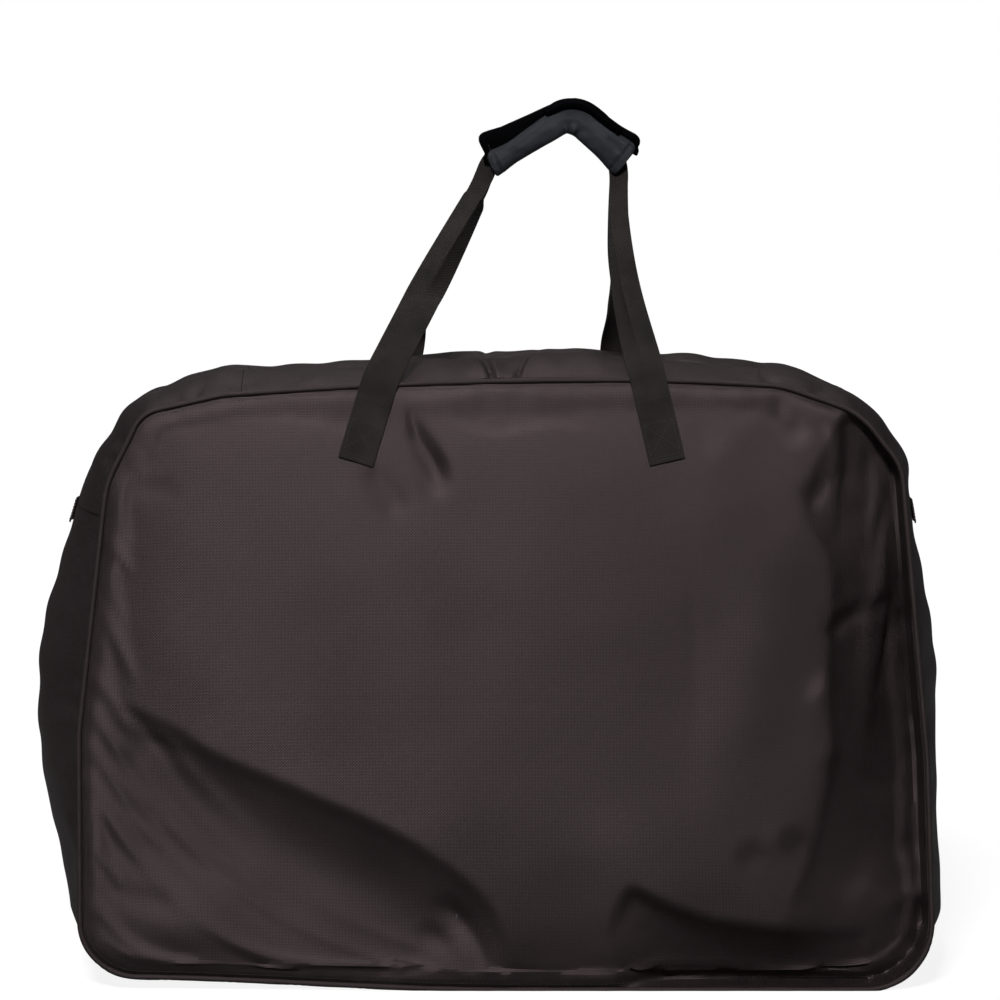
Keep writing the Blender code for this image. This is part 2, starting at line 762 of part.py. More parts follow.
def handle_track(left_foot, right_foot):
    corners = [(left_foot, SEAM_HEIGHT)]
    corners += [grip_point(LEAN_LEFT_SHARES), grip_point(WRAP_LEFT_SHARES)]
    corners += [grip_point(APEX_SHARES), grip_point(WRAP_RIGHT_SHARES)]
    corners += [grip_point(LEAN_RIGHT_SHARES), (right_foot, SEAM_HEIGHT)]
    radii = (0, 0, GRIP_BEND_RADIUS, APEX_RADIUS, GRIP_BEND_RADIUS, 0, 0)
    return rounded(corners, radii, closed=False)


def cross_section(place, a, f):
    return [place + a + f, place - a + f, place - a - f, place + a - f]


def handle_foot(place, tangent, side):
    """The strap's end, cut level at the hinge line."""
    facing = Vector((0, side, strap_lean())).normalized()
    across = tangent.cross(facing)
    a = Vector((WEBBING_WIDTH / 2 / across.x, 0, 0))
    return cross_section(place, a, Vector((0, side * level_half(), 0)))


def handle(name, side, left_foot, right_foot, carrier):
    """The free loop of a handle: flat webbing that leans in to the grip and is folded there."""
    samples = handle_track(left_foot, right_foot)
    lean_z = grip_point(LEAN_LEFT_SHARES)[1]
    lean = strap_lean()
    places = []
    shares = []
    for sample in samples:
        height_share = min((sample.z - SEAM_HEIGHT) / (lean_z - SEAM_HEIGHT), 1)
        y = strap_offset() - lean * height_share * (lean_z - SEAM_HEIGHT)
        places.append(Vector((sample.x, side * y, sample.z)))
        shares.append(height_share)
    sections = [handle_foot(places[0], (places[1] - places[0]).normalized(), side)]
    for i in range(1, len(places) - 1):
        tangent = (places[i + 1] - places[i - 1]).normalized()
        slope = lean if shares[i] < 1 else 0
        facing = Vector((0, side, slope)).normalized()
        across = tangent.cross(facing).normalized()
        facing = across.cross(tangent).normalized()
        taper = max(shares[i] - TAPER_START_SHARE, 0) / (1 - TAPER_START_SHARE)
        width = WEBBING_WIDTH + (FOLDED_WIDTH - WEBBING_WIDTH) * taper
        thick = WEBBING_THICKNESS + (FOLDED_THICKNESS - WEBBING_THICKNESS) * taper
        sections.append(cross_section(places[i], across * width / 2, facing * thick / 2))
    sections.append(handle_foot(places[-1], (places[-1] - places[-2]).normalized(), side))
    return loft(name, sections, WEBBING, carrier)


def anchor(name, side, foot, splay):
    """The sewn end of the webbing: it lies on the panel below the seam."""
    cz = panel_centre()[1]
    top = SEAM_HEIGHT - HINGE_CLEARANCE
    bottom = SEAM_HEIGHT - ANCHOR_LENGTH
    over_piping = strap_offset() - WEBBING_THICKNESS / 2
    sections = []
    for k in range(ANCHOR_STEPS + 1):
        z = top + (bottom - top) * k / ANCHOR_STEPS
        x = foot + splay * (SEAM_HEIGHT - z) / ANCHOR_LENGTH
        reach_share = (z - cz) / (SEAM_HEIGHT - cz)
        on_panel = panel_rise(z, reach_share) + GAP
        back = max(on_panel, over_piping + (on_panel - over_piping) * k / ANCHOR_STEPS)
        half = WEBBING_WIDTH / 2
        near = side * back
        far = side * (back + WEBBING_THICKNESS)
        section = [(x - half, near), (x + half, near), (x + half, far), (x - half, far)]
        sections.append([Vector((px, py, z)) for px, py in section])
    return loft(name, sections, WEBBING)


def build_handles():
    front_y = -hinge_offset()
    front = pivot("front_handle_hinge", Vector((0, front_y, SEAM_HEIGHT)))
    rear = pivot("rear_handle_hinge", Vector((0, -front_y, SEAM_HEIGHT)))
    left = -HANDLE_LEFT
    right = left + HANDLE_SPREAD
    handle("front_handle", -1, left, right, front)
    anchor("front_anchor_left", -1, left, -ANCHOR_LEFT_SPLAY)
    anchor("front_anchor_right", -1, right, ANCHOR_RIGHT_SPLAY)
    left += REAR_LEFT_INSET
    right -= REAR_RIGHT_INSET
    handle("rear_handle", 1, left, right, rear)
    anchor("rear_anchor_left", 1, left, -ANCHOR_LEFT_SPLAY)
    anchor("rear_anchor_right", 1, right, ANCHOR_RIGHT_SPLAY)
    return front


def wrap_track():
    corners = [grip_point(WRAP_LEFT_SHARES), grip_point(APEX_SHARES), grip_point(WRAP_RIGHT_SHARES)]
    return Track(rounded(corners, (0, APEX_RADIUS, 0), closed=False))


def half_height(track, run):
    """Half the wrap's height: it is tallest at its two ends."""
    from_apex_share = abs(run / track.length - 0.5) * 2
    return (WRAP_APEX_HEIGHT + (WRAP_END_HEIGHT - WRAP_APEX_HEIGHT) * from_apex_share) / 2


def wrap_section(track, run, profile):
    """The profile's points, (depth, height), square to the grip at that run."""
    sample = track.at(run)
    points = []
    for y, height in profile(half_height(track, run)):
        points.append(Vector((sample.x - sample.nx * height, y, sample.z - sample.nz * height)))
    return points


def wrap_loft(name, track, runs, profile, finish, carrier):
    return loft(name, [wrap_section(track, run, profile) for run in runs], finish, carrier)


def cover_profile(half):
    """A C open to the rear, with a lip at its foot."""
    front = -(GRIP_HALF_DEPTH + GAP + WRAP_FOAM + GAP + WRAP_COVER)
    wall = WRAP_COVER
    return (
        (WRAP_REAR, half),
        (front, half),
        (front, -half),
        (WRAP_REAR, -half),
        (WRAP_REAR, -WRAP_LIP_TOP),
        (WRAP_REAR - wall, -WRAP_LIP_TOP),
        (WRAP_REAR - wall, -half + wall),
        (front + wall, -half + wall),
        (front + wall, half - wall),
        (WRAP_REAR, half - wall),
    )


def foam_profile(half):
    """The pad inside the cover, with the same open rear."""
    outer = half - WRAP_COVER - GAP
    inner = outer - WRAP_FOAM
    front = -(GRIP_HALF_DEPTH + GAP + WRAP_FOAM)
    rear = WRAP_REAR - WRAP_COVER - GAP
    return (
        (rear, outer),
        (front, outer),
        (front, -outer),
        (rear, -outer),
        (rear, -inner),
        (front + WRAP_FOAM, -inner),
        (front + WRAP_FOAM, inner),
        (rear, inner),
    )


def strip_profile(near):
    def profile(half):
        far = near + HOOK_THICKNESS
        low = -half + HOOK_MARGIN
        high = -WRAP_LIP_TOP - HOOK_LIP_MARGIN
        return ((near, high), (near, low), (far, low), (far, high))

    return profile


def build_wrap(handle_hinge):
    """The padded wrap: it rides on the front handle, and two tabs close it behind the rear one."""
    track = wrap_track()
    runs = track.runs
    wrap_loft("wrap_cover", track, runs, cover_profile, WRAP_FABRIC, handle_hinge)
    wrap_loft("wrap_foam", track, runs, foam_profile, FOAM, handle_hinge)
    loop_y = WRAP_REAR + GAP
    hook_y = loop_y + HOOK_THICKNESS + GAP
    tab_y = hook_y + HOOK_THICKNESS + GAP
    wrap_loft("wrap_loop_strip", track, runs, strip_profile(loop_y), HOOK_LOOP, handle_hinge)

    def tab_profile(half):
        return ((tab_y, half), (tab_y, -half), (tab_y + WRAP_TAB, -half), (tab_y + WRAP_TAB, half))

    apex_run = track.length * apex_share(track)
    left_runs = (TAB_END_MARGIN, apex_run - TAB_APEX_MARGIN)
    right_runs = (apex_run + TAB_APEX_MARGIN, track.length - TAB_END_MARGIN)
    for side, ends in (("left", left_runs), ("right", right_runs)):
        top = wrap_section(track, ends[0], tab_profile)
        hinge = pivot(f"wrap_tab_{side}_hinge", (top[0] + top[3]) / 2, handle_hinge)
        wrap_loft(f"wrap_tab_{side}", track, ends, tab_profile, WRAP_FABRIC, hinge)
        profile = strip_profile(hook_y)
        wrap_loft(f"wrap_hook_{side}", track, ends, profile, HOOK_LOOP, hinge)


def apex_share(track):
    """The share of the wrap's length at which its highest point lies."""
    highest = max(range(len(track.samples)), key=lambda i: track.samples[i].z)
    return track.runs[highest] / track.length


def main():
    clear_scene()
    build_panels()
    build_gussets()
    seam_y = TOP_DEPTH / 2
    front_mouth = pivot("mouth_front_hinge", Vector((0, -seam_y, SEAM_HEIGHT)))
    rear_mouth = pivot("mouth_rear_hinge", Vector((0, seam_y, SEAM_HEIGHT)))
    build_zip_band(front_mouth, rear_mouth)
    build_slider("zip_slider_left", -1, front_mouth)
    build_slider("zip_slider_right", 1, front_mouth)
    front_handle = build_handles()
    build_wrap(front_handle)


main()
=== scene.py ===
"""Looks of a soft zipped travel bag for a folding bicycle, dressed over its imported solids.

Metres, +Z up. The front panel faces -Y, and the origin lies on the floor under the bag's middle.
Every cloth piece has a UV map named "cloth" in metres, which its weave follows.
"""

from __future__ import annotations

import logging
import math
from dataclasses import dataclass, field
from enum import Enum
from typing import Callable, Sequence

import bpy
import numpy as np
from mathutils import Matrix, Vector
from mathutils.bvhtree import BVHTree

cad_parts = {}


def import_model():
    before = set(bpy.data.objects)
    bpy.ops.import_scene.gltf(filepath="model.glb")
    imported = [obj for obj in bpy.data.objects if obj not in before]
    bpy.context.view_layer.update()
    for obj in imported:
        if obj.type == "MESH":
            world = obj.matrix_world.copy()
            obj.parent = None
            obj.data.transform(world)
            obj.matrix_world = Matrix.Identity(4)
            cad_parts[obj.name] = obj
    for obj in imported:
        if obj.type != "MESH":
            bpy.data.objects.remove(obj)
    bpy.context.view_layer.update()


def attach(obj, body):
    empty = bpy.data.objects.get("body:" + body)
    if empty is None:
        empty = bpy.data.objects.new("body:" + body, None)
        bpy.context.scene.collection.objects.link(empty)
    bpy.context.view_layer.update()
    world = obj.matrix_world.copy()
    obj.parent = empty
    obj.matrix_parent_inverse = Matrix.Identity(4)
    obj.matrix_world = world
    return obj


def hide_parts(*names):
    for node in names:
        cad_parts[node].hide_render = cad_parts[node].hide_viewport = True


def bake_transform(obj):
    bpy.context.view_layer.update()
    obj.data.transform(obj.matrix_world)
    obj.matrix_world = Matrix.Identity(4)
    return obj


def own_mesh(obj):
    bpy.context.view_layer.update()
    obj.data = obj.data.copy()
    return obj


LOG = logging.getLogger("travel_bag")
UV_MAP = "cloth"
# Name of the attribute that marks the grip wrap's top stripe, which the material paints near black as shade.
SHADE_BAND_MARK = "band"
THREAD = "thread"

# From one stitch to the next, and how far a row lies over its cloth, in metres.
STITCH_PITCH = 0.0034
OVER_CLOTH = 0.0001

Array = np.ndarray
Place = Callable[[Array, Array], Array]


class Side(Enum):
    """Front or rear of the bag, as the sign of its Y."""

    FRONT = -1
    REAR = 1

    @property
    def word(self) -> str:
        """The side's name as the CAD nodes write it."""
        return self.name.lower()


class Body(str, Enum):
    """The bodies that the cloth rides on. Sliders and pulls stay as their own CAD nodes."""

    BAG = "bag"
    MOUTH_FRONT = "mouth_front"
    MOUTH_REAR = "mouth_rear"
    HANDLE_FRONT = "handle_front"
    HANDLE_REAR = "handle_rear"
    TAB_LEFT = "tab_left"
    TAB_RIGHT = "tab_right"


def smooth(low: float, high: float, value: Array) -> Array:
    """A smooth step from 0 at low to 1 at high.

    Args:
        low: Where the step starts.
        high: Where it ends.
        value: The places to read it at.

    Returns:
        The step's height at each place.
    """
    t = np.clip((value - low) / (high - low), 0.0, 1.0)
    return t * t * (3 - 2 * t)


def soften(values: Array, rounds: int) -> None:
    """Evens out rows of values in place, each between its two neighbours; the first and last stay.

    Args:
        values: The rows.
        rounds: How many times.
    """
    for _ in range(rounds):
        values[1:-1] = (values[:-2] + values[1:-1] * 2 + values[2:]) / 4


def flat_runs(line: Array) -> Array:
    """The length along a flat line at each of its points."""
    return np.concatenate(([0], np.cumsum(np.hypot(*np.diff(line, axis=0).T))))


def resampled(line: Array, runs: Array, wanted: Array) -> Array:
    """A flat line's points at the wanted lengths, from its own points and their lengths."""
    return np.stack([np.interp(wanted, runs, line[:, axis]) for axis in (0, 1)], axis=-1)


def unit(ways: Array) -> Array:
    """Rows of directions, each brought to length 1."""
    return ways / np.linalg.norm(ways, axis=1, keepdims=True)


def level(distance: float) -> Callable[..., Array]:
    """Makes a function that gives the same distance at all places."""
    return lambda place, *_: distance + 0 * place


def cloth_of(breadth: float) -> Place:
    """Makes a function that gives UV places, so broad for each unit of the second coordinate."""
    return lambda along, across: np.stack((along, across * breadth), axis=-1)


@dataclass(frozen=True)
class Waves:
    """Soft unevenness: a seeded sum of sine waves in two directions."""

    seed: int
    length: float
    count: int = 14
    stretch: float = 1.0

    def read(self, u: Array, v: Array) -> Array:
        """Height at each place, mostly within -1 to 1.

        Args:
            u: First coordinate in metres.
            v: Second coordinate in metres.

        Returns:
            The sum of the waves.
        """
        rng = np.random.default_rng(self.seed)
        total = np.zeros(np.broadcast(u, v).shape)
        for _ in range(self.count):
            angle = rng.uniform(0, 2 * math.pi)
            pitch = self.length * rng.uniform(0.6, 1.7)
            phase = rng.uniform(0, 2 * math.pi)
            along = u * math.cos(angle) + v * math.sin(angle) * self.stretch
            total = total + np.sin(2 * math.pi * along / pitch + phase)
        return total / math.sqrt(self.count)


class NodeSheet:
    """Adds shader nodes to a new material or world and links them."""

    def __init__(self, owner: bpy.types.Material | bpy.types.World, shader: str = "Principled BSDF") -> None:
        """Gives the material or the world its nodes.

        Args:
            owner: The material or the world.
            shader: Its main shader.
        """
        owner.use_nodes = True
        self.tree = owner.node_tree
        self.shader = self.tree.nodes[shader]

    def add(self, kind: str, **settings: object) -> bpy.types.Node:
        """Adds one node.

        Args:
            kind: The node's Blender type.
            settings: Properties to set on it.

        Returns:
            The node.
        """
        node = self.tree.nodes.new(kind)
        for key, value in settings.items():
            setattr(node, key, value)
        return node

    def join(self, source: object, target: object) -> None:
        """Links an output to an input; a plain number or colour is written into the input.

        Args:
            source: The output, number or colour.
            target: The input.
        """
        if isinstance(source, bpy.types.NodeSocket):
            self.tree.links.new(source, target)
        else:
            target.default_value = source

    def feed(self, sources: dict[str, object]) -> None:
        """Joins what feeds the main shader to its inputs, by their names."""
        for name, source in sources.items():
            self.join(source, self.shader.inputs[name])

    def bump(self, height: object, strength: float, depth: float) -> None:
        """Gives the shader a bump.

        Args:
            height: The relief, from 0 to 1.
            strength: How much of it shows, from 0 to 1.
            depth: What a height of 1 stands for, in metres.
        """
        node = self.add("ShaderNodeBump")
        for name, source in (("Strength", strength), ("Distance", depth), ("Height", height)):
            self.join(source, node.inputs[name])
        self.feed({"Normal": node.outputs[0]})

    def cloth_places(self) -> tuple[bpy.types.NodeSocket, bpy.types.NodeSocket, bpy.types.NodeSocket]:
        """The place on the flat cloth in metres: the whole vector, the length along and the length across."""
        places = self.add("ShaderNodeUVMap", uv_map=UV_MAP).outputs[0]
        return places, *self.split(places)[:2]

    def split(self, vector: object) -> list[bpy.types.NodeSocket]:
        """The three parts of a vector.

        Args:
            vector: The vector's output.

        Returns:
            The outputs of its parts.
        """
        node = self.add("ShaderNodeSeparateXYZ")
        self.join(vector, node.inputs[0])
        return list(node.outputs)

    def threads(self, value: object) -> bpy.types.NodeSocket:
        """One rounded thread for every unit of the value."""
        return self.math("ABSOLUTE", self.math("SINE", self.math("MULTIPLY", value, math.pi)))

    def math(self, operation: str, *values: object) -> bpy.types.NodeSocket:
        """A Math node on the values.

        Args:
            operation: The node's operation.
            values: Numbers or sockets, in order.

        Returns:
            Its result.
        """
        node = self.add("ShaderNodeMath", operation=operation)
        for slot, value in zip(node.inputs, values):
            self.join(value, slot)
        return node.outputs[0]

    def mix(self, share: object, low: object, high: object) -> bpy.types.NodeSocket:
        """Mixes two colours.

        Args:
            share: How much of the second one, from 0 to 1.
            low: The first colour.
            high: The second colour.

        Returns:
            The mixed colour.
        """
        node = self.add("ShaderNodeMix", data_type="RGBA")
        self.join(share, node.inputs["Factor"])
        self.join(low, node.inputs[6])
        self.join(high, node.inputs[7])
        return node.outputs[2]

    def ramp(self, value: object, low: float, high: float, start: float, end: float) -> bpy.types.NodeSocket:
        """Maps a value from one range to another and holds it there.

        Args:
            value: What is mapped.
            low: Where its range starts.
            high: Where its range ends.
            start: The result at low and below.
            end: The result at high and above.

        Returns:
            The result.
        """
        node = self.add("ShaderNodeMapRange")
        for slot, item in zip(node.inputs, (value, low, high, start, end)):
            self.join(item, slot)
        return node.outputs[0]

    def noise(self, place: object, scale: float, detail: float = 3.0) -> bpy.types.NodeSocket:
        """Noise read at a place.

        Args:
            place: The place.
            scale: Features a metre.
            detail: How many finer layers it has.

        Returns:
            The noise, from 0 to 1.
        """
        node = self.add("ShaderNodeTexNoise")
        node.inputs["Scale"].default_value = scale
        node.inputs["Detail"].default_value = detail
        self.join(place, node.inputs["Vector"])
        return node.outputs["Fac"]


@dataclass(frozen=True)
class ClothFinish:
    """A woven finish: two sets of threads over and under each other.

    Attributes:
        name: The record's material slot.
        colour: Base colour, linear.
        roughness: Of the surface.
        sheen: Strength of the fabric's soft sheen.
        thread: Width of a thread along and across, in metres.
        relief: Depth of the weave, in metres.
        fade: How far the colour wanders over the piece.
        shine: Level of the smooth reflection.
        tint: Colour of that reflection.
        banded: Whether the mesh marks a stripe of painted shade, near black and without shine, in an
            attribute.
    """

    name: str
    colour: tuple[float, float, float]
    roughness: float
    sheen: float
    thread: tuple[float, float]
    relief: float
    fade: float = 0.18
    shine: float = 0.10
    tint: tuple[float, float, float] = (1.0, 0.78, 0.80)
    banded: bool = False

    def make(self) -> bpy.types.Material:
        """Builds the material.

        Returns:
            The material, with its weave, its uneven colour and its bump.
        """
        material = bpy.data.materials.new(f"{self.name}_look")
        sheet = NodeSheet(material)
        places, length, breadth = sheet.cloth_places()
        along = sheet.math("DIVIDE", length, self.thread[0])
        across = sheet.math("DIVIDE", breadth, self.thread[1])
        floors = sheet.math("ADD", sheet.math("FLOOR", along), sheet.math("FLOOR", across))
        turn = sheet.math("PINGPONG", floors, 1.0)
        first = sheet.math("MULTIPLY", sheet.threads(along), turn)
        second = sheet.math("MULTIPLY", sheet.threads(across), sheet.math("SUBTRACT", 1.0, turn))
        weave = sheet.math("ADD", first, second)
        slubs = [self.slubs(sheet, places, scale) for scale in ((60.0, 480.0), (480.0, 60.0))]
        thread_noise = sheet.math("MULTIPLY", sheet.math("ADD", *slubs), 0.5)
        wander = sheet.noise(places, 9.0, 4.0)
        deep = tuple(c * 0.45 for c in self.colour)
        bright = tuple(c * (1 + self.fade) for c in self.colour)
        dull = tuple(c * (1 - self.fade) for c in self.colour)
        uneven = [sheet.math("MULTIPLY", thread_noise, 1.4), sheet.math("MULTIPLY", wander, 0.6)]
        uneven = sheet.math("ADD", *uneven)
        ground = sheet.mix(sheet.ramp(uneven, 0.65, 1.35, 0.0, 1.0), (*dull, 1.0), (*bright, 1.0))
        height = sheet.math("ADD", weave, sheet.math("MULTIPLY", thread_noise, 0.8))
        # Painted shade: the weave's low places take the deep colour, as the shade in the hollows between
        # threads.
        threads = sheet.mix(sheet.ramp(height, 0.1, 1.0, 0.0, 1.0), (*deep, 1.0), ground)
        sheet.feed(
            {
                "Base Color": threads,
                "Roughness": sheet.ramp(wander, 0.3, 0.7, self.roughness - 0.05, self.roughness + 0.06),
                "Sheen Weight": self.sheen,
                "Sheen Roughness": 0.4,
                "Specular IOR Level": self.shine,
                "Specular Tint": (*self.tint, 1.0),
            }
        )
        # Painted shade: where the mesh marks it, the colour goes near black and the shine goes away, as the
        # shade on the grip wrap's top.
        if self.banded:
            band = sheet.add("ShaderNodeAttribute", attribute_name=SHADE_BAND_MARK).outputs["Fac"]
            shade_colour = tuple(c * 0.10 for c in self.colour)
            shine = sheet.ramp(band, 0.0, 1.0, self.shine, 0.01)
            sheet.feed({"Base Color": sheet.mix(band, threads, (*shade_colour, 1.0)), "Specular IOR Level": shine})
        sheet.bump(height, 0.6, self.relief)
        return material

    @staticmethod
    def slubs(
        sheet: NodeSheet, places: bpy.types.NodeSocket, scale: tuple[float, float]
    ) -> bpy.types.NodeSocket:
        """Uneven yarn: noise drawn out along one set of threads.

        Args:
            sheet: The material's nodes.
            places: The place on the cloth.
            scale: Features a metre along and across the cloth.

        Returns:
            The noise.
        """
        stretched = sheet.add("ShaderNodeMapping")
        stretched.inputs["Scale"].default_value = (*scale, 1.0)
        sheet.join(places, stretched.inputs["Vector"])
        return sheet.noise(stretched.outputs[0], 1.0, 1.0)


@dataclass(frozen=True)
class RibbedFinish:
    """Webbing: ribs across the strap, broken by the warp threads that run along it.

    Attributes:
        name: The record's material slot.
        colour: Base colour, linear.
        roughness: Of the surface.
        rib: From one rib to the next, in metres.
        warp: From one warp thread to the next.
        relief: Depth of the ribs.
    """

    name: str
    colour: tuple[float, float, float]
    roughness: float
    rib: float = 0.0021
    warp: float = 0.0015
    relief: float = 0.0006

    def make(self) -> bpy.types.Material:
        """Builds the material.

        Returns:
            The ribbed material.
        """
        material = bpy.data.materials.new(f"{self.name}_look")
        sheet = NodeSheet(material)
        places, length, breadth = sheet.cloth_places()
        column = sheet.math("DIVIDE", breadth, self.warp)
        shift = sheet.math("MULTIPLY", sheet.math("PINGPONG", sheet.math("FLOOR", column), 1.0), 0.5)
        row = sheet.math("ADD", sheet.math("DIVIDE", length, self.rib), shift)
        thread = sheet.math("ADD", sheet.math("MULTIPLY", sheet.threads(column), 0.6), 0.4)
        weave = sheet.math("MULTIPLY", sheet.threads(row), thread)
        wander = sheet.noise(places, 30.0, 3.0)
        # Painted shade: the hollows between the ribs take the deep colour, as the shade that falls there.
        deep = tuple(c * 0.3 for c in self.colour)
        dull = tuple(c * 0.55 for c in self.colour)
        bright = tuple(c * 1.45 for c in self.colour)
        ground = sheet.mix(sheet.ramp(wander, 0.32, 0.68, 0.0, 1.0), (*dull, 1.0), (*bright, 1.0))
        sheet.feed(
            {
                "Base Color": sheet.mix(weave, (*deep, 1.0), ground),
                "Roughness": sheet.ramp(wander, 0.3, 0.7, self.roughness - 0.05, self.roughness + 0.05),
                "Sheen Weight": 0.03,
                "Specular IOR Level": 0.12,
            }
        )
        sheet.bump(weave, 0.8, self.relief)
        return material


@dataclass(frozen=True)
class PlainFinish:
    """Metal or plastic with fine scratches, or the fuzz of hook and loop tape.

    Attributes:
        name: The record's material slot, or the thread.
        colour: Base colour, linear.
        roughness: Of the surface.
        metallic: 1 for metal.
        grain: Scratches or tufts a metre.
        relief: Their depth, in metres.
    """

    name: str
    colour: tuple[float, float, float]
    roughness: float
    metallic: float = 0.0
    grain: float = 400.0
    relief: float = 0.0001

    def make(self) -> bpy.types.Material:
        """Builds the material.

        Returns:
            The material with its grain.
        """
        material = bpy.data.materials.new(f"{self.name}_look")
        sheet = NodeSheet(material)
        place = sheet.add("ShaderNodeTexCoord").outputs["Object"]
        grain = sheet.noise(place, self.grain, 4.0)
        worn = tuple(min(1.0, c * 1.5) for c in self.colour)
        dull = tuple(c * 0.7 for c in self.colour)
        sheet.feed(
            {
                "Base Color": sheet.mix(grain, (*dull, 1.0), (*worn, 1.0)),
                "Roughness": sheet.ramp(grain, 0.3, 0.7, self.roughness - 0.08, self.roughness + 0.1),
                "Metallic": self.metallic,
            }
        )
        sheet.bump(grain, 0.4, self.relief)
        return material


class Finishes:
    """Every finish of the bag by its material slot, each made once."""

    def __init__(self) -> None:
        """Builds the materials."""
        shell = ((0.0078, 0.0054, 0.0058), 0.50, 0.0, (0.0015, 0.0015), 0.00045, 0.60, 0.55)
        piping = ((0.0115, 0.0086, 0.0090), 0.55, 0.0, (0.0012, 0.0012), 0.0004, 0.20, 0.42)
        wrap = ((0.0085, 0.0090, 0.0115), 0.48, 0.0, (0.0008, 0.0008), 0.0002, 0.15, 0.30)
        finishes = (
            ClothFinish("shell_fabric", *shell),
            ClothFinish("lining_fabric", (0.050, 0.050, 0.055), 0.75, 0.03, (0.0008, 0.0008), 0.0002),
            ClothFinish("piping_fabric", *piping),
            ClothFinish("binding_tape", (0.020, 0.020, 0.021), 0.85, 0.03, (0.0012, 0.0009), 0.0003),
            # The wrap's cloth, with painted shade on the cover's top where its mesh marks it.
            ClothFinish("wrap_fabric", *wrap, (0.86, 0.90, 1.0), True),
            ClothFinish("zip_tape", (0.018, 0.018, 0.019), 0.85, 0.03, (0.0009, 0.0009), 0.0003),
            RibbedFinish("webbing", (0.0190, 0.0155, 0.0140), 0.55),
            PlainFinish(THREAD, (0.011, 0.009, 0.009), 0.70, 0.0, 2500.0, 0.0001),
            PlainFinish("zip_coil", (0.025, 0.025, 0.027), 0.40),
            PlainFinish("zip_metal", (0.045, 0.045, 0.048), 0.42, 1.0),
            PlainFinish("hook_and_loop", (0.012, 0.012, 0.013), 0.95, 0.0, 1500.0, 0.0008),
        )
        self.made = {finish.name: finish.make() for finish in finishes}

    def dress(self, obj: bpy.types.Object, name: str) -> None:
        """Puts a finish on a piece.

        Args:
            obj: The piece.
            name: The material slot, or the thread, which the record has no slot for.
        """
        obj.data.materials.clear()
        obj.data.materials.append(self.made[name])

    def dress_node(self, node: bpy.types.Object, name: str) -> None:
        """Puts a finish on a CAD node that stays."""
        for slot in node.material_slots:
            slot.material = self.made[name]


